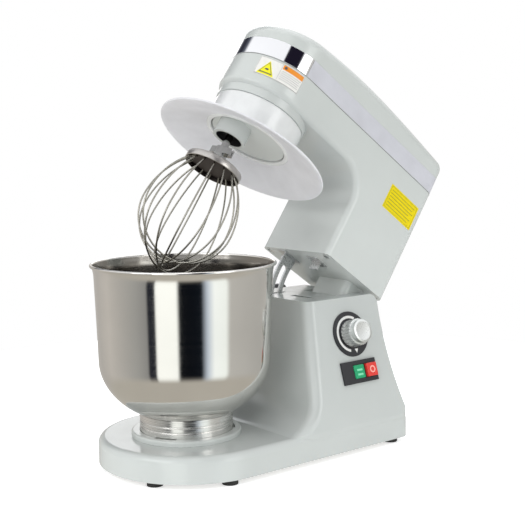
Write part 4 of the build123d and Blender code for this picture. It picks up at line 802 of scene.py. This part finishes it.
# ---- Print on the rating label -------------------------------------------------------------------
RATING_PLACE = Vector((0.0678, 0.2337, 0.3265))
RATING = HEAD @ axes((0, 1, 0), (1, 0, 0), RATING_PLACE)
RATING_HALF = (0.0305, 0.0160)
RATING_LINE = 0.0005
OLIVE_INK = printed("Ink_Olive", (0.36, 0.33, 0.03))
half_width, half_height = RATING_HALF
edges = (
    box_outline(-half_width, half_width, -half_height, RATING_LINE - half_height),
    box_outline(-half_width, half_width, half_height - RATING_LINE, half_height),
    box_outline(-half_width, RATING_LINE - half_width, -half_height, half_height),
    box_outline(half_width - RATING_LINE, half_width, -half_height, half_height),
)
RATING_ROWS = (0.026, 0.023, 0.0265, 0.019, 0.0255, 0.022)  # how far right each line runs
RATING_TOP = half_height - 0.0052
RATING_PITCH = 0.0046
lines = []
for number, reach in enumerate(RATING_ROWS):
    low = RATING_TOP - RATING_PITCH * number
    lines.append(box_outline(-half_width + 0.003, reach, low, low + 0.0010))
for kind, outlines in (("Edge", edges), ("Line", lines)):
    for number, outline in enumerate(outlines):
        name = f"Rating_{kind}_{number + 1}"
        label_piece(name, tile(RATING, outline, 0, PRINT), OLIVE_INK, "label_yellow")

# ---- Stage, light and camera ---------------------------------------------------------------------
CAMERA_AZIMUTH = math.radians(50.9)
CAMERA_PITCH = math.radians(6.3)
CAMERA_ROLL = math.radians(-0.6)
CAMERA_PLACE = Vector((1.0625, bowl_y - 0.7353, 0.3993))
FOCAL_PIXELS = 1029.2
FRAME_PIXELS = 525
SENSOR = 36.0

forward = Vector(
    (
        -math.sin(CAMERA_AZIMUTH) * math.cos(CAMERA_PITCH),
        math.cos(CAMERA_AZIMUTH) * math.cos(CAMERA_PITCH),
        -math.sin(CAMERA_PITCH),
    )
)
level = Vector((math.cos(CAMERA_AZIMUTH), math.sin(CAMERA_AZIMUTH), 0))
upright = level.cross(forward)
right = math.cos(CAMERA_ROLL) * level + math.sin(CAMERA_ROLL) * upright
up = math.cos(CAMERA_ROLL) * upright - math.sin(CAMERA_ROLL) * level
camera_data = bpy.data.cameras.new("Camera")
camera_data.sensor_width = SENSOR
camera_data.lens = FOCAL_PIXELS / FRAME_PIXELS * SENSOR
camera_data.clip_end = 50
camera = bpy.data.objects.new("Camera", camera_data)
camera.matrix_world = Matrix((right, up, -forward)).transposed().to_4x4()
camera.location = CAMERA_PLACE
bpy.context.scene.collection.objects.link(camera)
bpy.context.scene.camera = camera


FLOOR_R = 0.85


def floor():
    """A round, pale, matt floor."""
    mesh = bmesh.new()
    bmesh.ops.create_circle(mesh, cap_ends=True, segments=96, radius=FLOOR_R)
    data = bpy.data.meshes.new("Floor")
    mesh.to_mesh(data)
    mesh.free()
    piece = bpy.data.objects.new("Floor", data)
    bpy.context.scene.collection.objects.link(piece)
    finish = Finish("Floor_Pale", (0.86, 0.86, 0.86), 0.7, Emission_Strength=0.55)
    finish.put("Emission Color", (1, 1, 1, 1))
    finish.tint(finish.noise(3, 2), 0.01)
    data.materials.append(finish.material)
    piece.visible_glossy = False


floor()


def light(name, place, aim, size, energy, color=(1, 1, 1), reflected=True):
    data = bpy.data.lights.new(name, "AREA")
    data.shape = "RECTANGLE"
    data.size, data.size_y = size
    data.energy = energy
    data.color = color
    made = bpy.data.objects.new(name, data)
    made.location = place
    made.rotation_euler = (Vector(aim) - Vector(place)).to_track_quat("-Z", "Y").to_euler()
    made.visible_glossy = reflected
    bpy.context.scene.collection.objects.link(made)


AIM = (0, 0, 0.25)
HEAD_AIM = (0, 0.05, 0.52)
light("Key", (0.3, -2.3, 1.5), AIM, (1.6, 1.2), 12)
light("Side", (2.2, 0.5, 0.9), HEAD_AIM, (1.0, 1.2), 6, (1, 0.99, 0.97))
light("Top", (0.0, 0.2, 2.2), AIM, (1.8, 1.8), 7)
light("Rim", (-1.9, 1.2, 1.2), AIM, (1.0, 1.4), 5, (0.97, 0.98, 1))
light("Fill", (0.55, -1.25, 0.2), HEAD_AIM, (0.5, 0.4), 2.2, (1, 1, 0.99), False)

# The walls of the studio: pale screens with dark gaps between them, seen only in reflections.
WALLS = (
    (-180, (0.50, 0.48, 0.45)),
    (-150, (0.60, 0.57, 0.53)),
    (-100, (0.40, 0.40, 0.38)),
    (-84, (0.31, 0.31, 0.30)),
    (-82, (0.02, 0.022, 0.03)),
    (-73, (0.02, 0.022, 0.03)),
    (-71, (1.22, 1.25, 1.20)),
    (-45, (1.22, 1.25, 1.20)),
    (-41, (0.004, 0.005, 0.007)),
    (-13, (0.004, 0.006, 0.010)),
    (-5, (0.62, 0.70, 0.80)),
    (4, (1.10, 1.16, 1.14)),
    (20, (1.06, 1.12, 1.08)),
    (26, (0.56, 0.55, 0.52)),
    (80, (0.48, 0.475, 0.45)),
    (130, (0.58, 0.55, 0.52)),
    (178, (0.50, 0.48, 0.45)),
)
CEILING = (
    (-180, (0.035, 0.037, 0.05)),
    (-171, (0.12, 0.13, 0.16)),
    (-162, (1.05, 1.06, 1.07)),
    (-24, (1.05, 1.06, 1.07)),
    (-21, (0.012, 0.010, 0.020)),
    (7, (0.012, 0.010, 0.020)),
    (10, (1.05, 1.06, 1.07)),
    (146, (1.05, 1.06, 1.07)),
    (157, (0.30, 0.31, 0.35)),
    (170, (0.035, 0.037, 0.05)),
)
TABLE = (0.50, 0.475, 0.42)
BACKDROP = (1.0, 1.0, 1.0)

world = bpy.data.worlds.new("Studio")
bpy.context.scene.world = world
world.use_nodes = True
tree = world.node_tree
tree.nodes.clear()


def world_node(kind, **properties):
    made = tree.nodes.new("ShaderNode" + kind)
    for key, value in properties.items():
        setattr(made, key, value)
    return made


way = world_node("TexCoord")
split = world_node("SeparateXYZ")
tree.links.new(way.outputs["Generated"], split.inputs["Vector"])
turn = world_node("Math", operation="ARCTAN2")
tree.links.new(split.outputs["Y"], turn.inputs[0])
tree.links.new(split.outputs["X"], turn.inputs[1])
share = world_node("MapRange")
share.inputs["From Min"].default_value = -math.pi
share.inputs["From Max"].default_value = math.pi
tree.links.new(turn.outputs[0], share.inputs["Value"])


def panorama(bands):
    """A colour by the direction on the horizon, from (degrees, colour) bands."""
    ramp = world_node("ValToRGB")
    elements = ramp.color_ramp.elements
    while len(elements) < len(bands):
        elements.new(0.5)
    for element, (degrees, shade) in zip(elements, bands):
        element.position = (degrees + 180) / 360
        element.color = (*shade, 1)
    tree.links.new(share.outputs["Result"], ramp.inputs["Fac"])
    return ramp.outputs["Color"]


def slope(low, high):
    """0 to 1 as the direction's height goes from one value to another."""
    made = world_node("MapRange", interpolation_type="SMOOTHSTEP")
    made.inputs["From Min"].default_value = low
    made.inputs["From Max"].default_value = high
    tree.links.new(split.outputs["Z"], made.inputs["Value"])
    return made.outputs["Result"]


mix = world_node("Mix", data_type="RGBA")
tree.links.new(slope(0.20, 0.38), mix.inputs["Factor"])
tree.links.new(panorama(WALLS), mix.inputs["A"])
tree.links.new(panorama(CEILING), mix.inputs["B"])
lower = world_node("Mix", data_type="RGBA")
tree.links.new(slope(-0.30, -0.55), lower.inputs["Factor"])
tree.links.new(mix.outputs["Result"], lower.inputs["A"])
lower.inputs["B"].default_value = (*TABLE, 1)
seen = world_node("LightPath")
pick = world_node("Mix", data_type="RGBA")
tree.links.new(seen.outputs["Is Camera Ray"], pick.inputs["Factor"])
tree.links.new(lower.outputs["Result"], pick.inputs["A"])
pick.inputs["B"].default_value = (*BACKDROP, 1)
background = world_node("Background")
background.inputs["Strength"].default_value = 1.0
tree.links.new(pick.outputs["Result"], background.inputs["Color"])
output = world_node("OutputWorld")
tree.links.new(background.outputs["Background"], output.inputs["Surface"])

bpy.context.scene.view_settings.view_transform = "Standard"
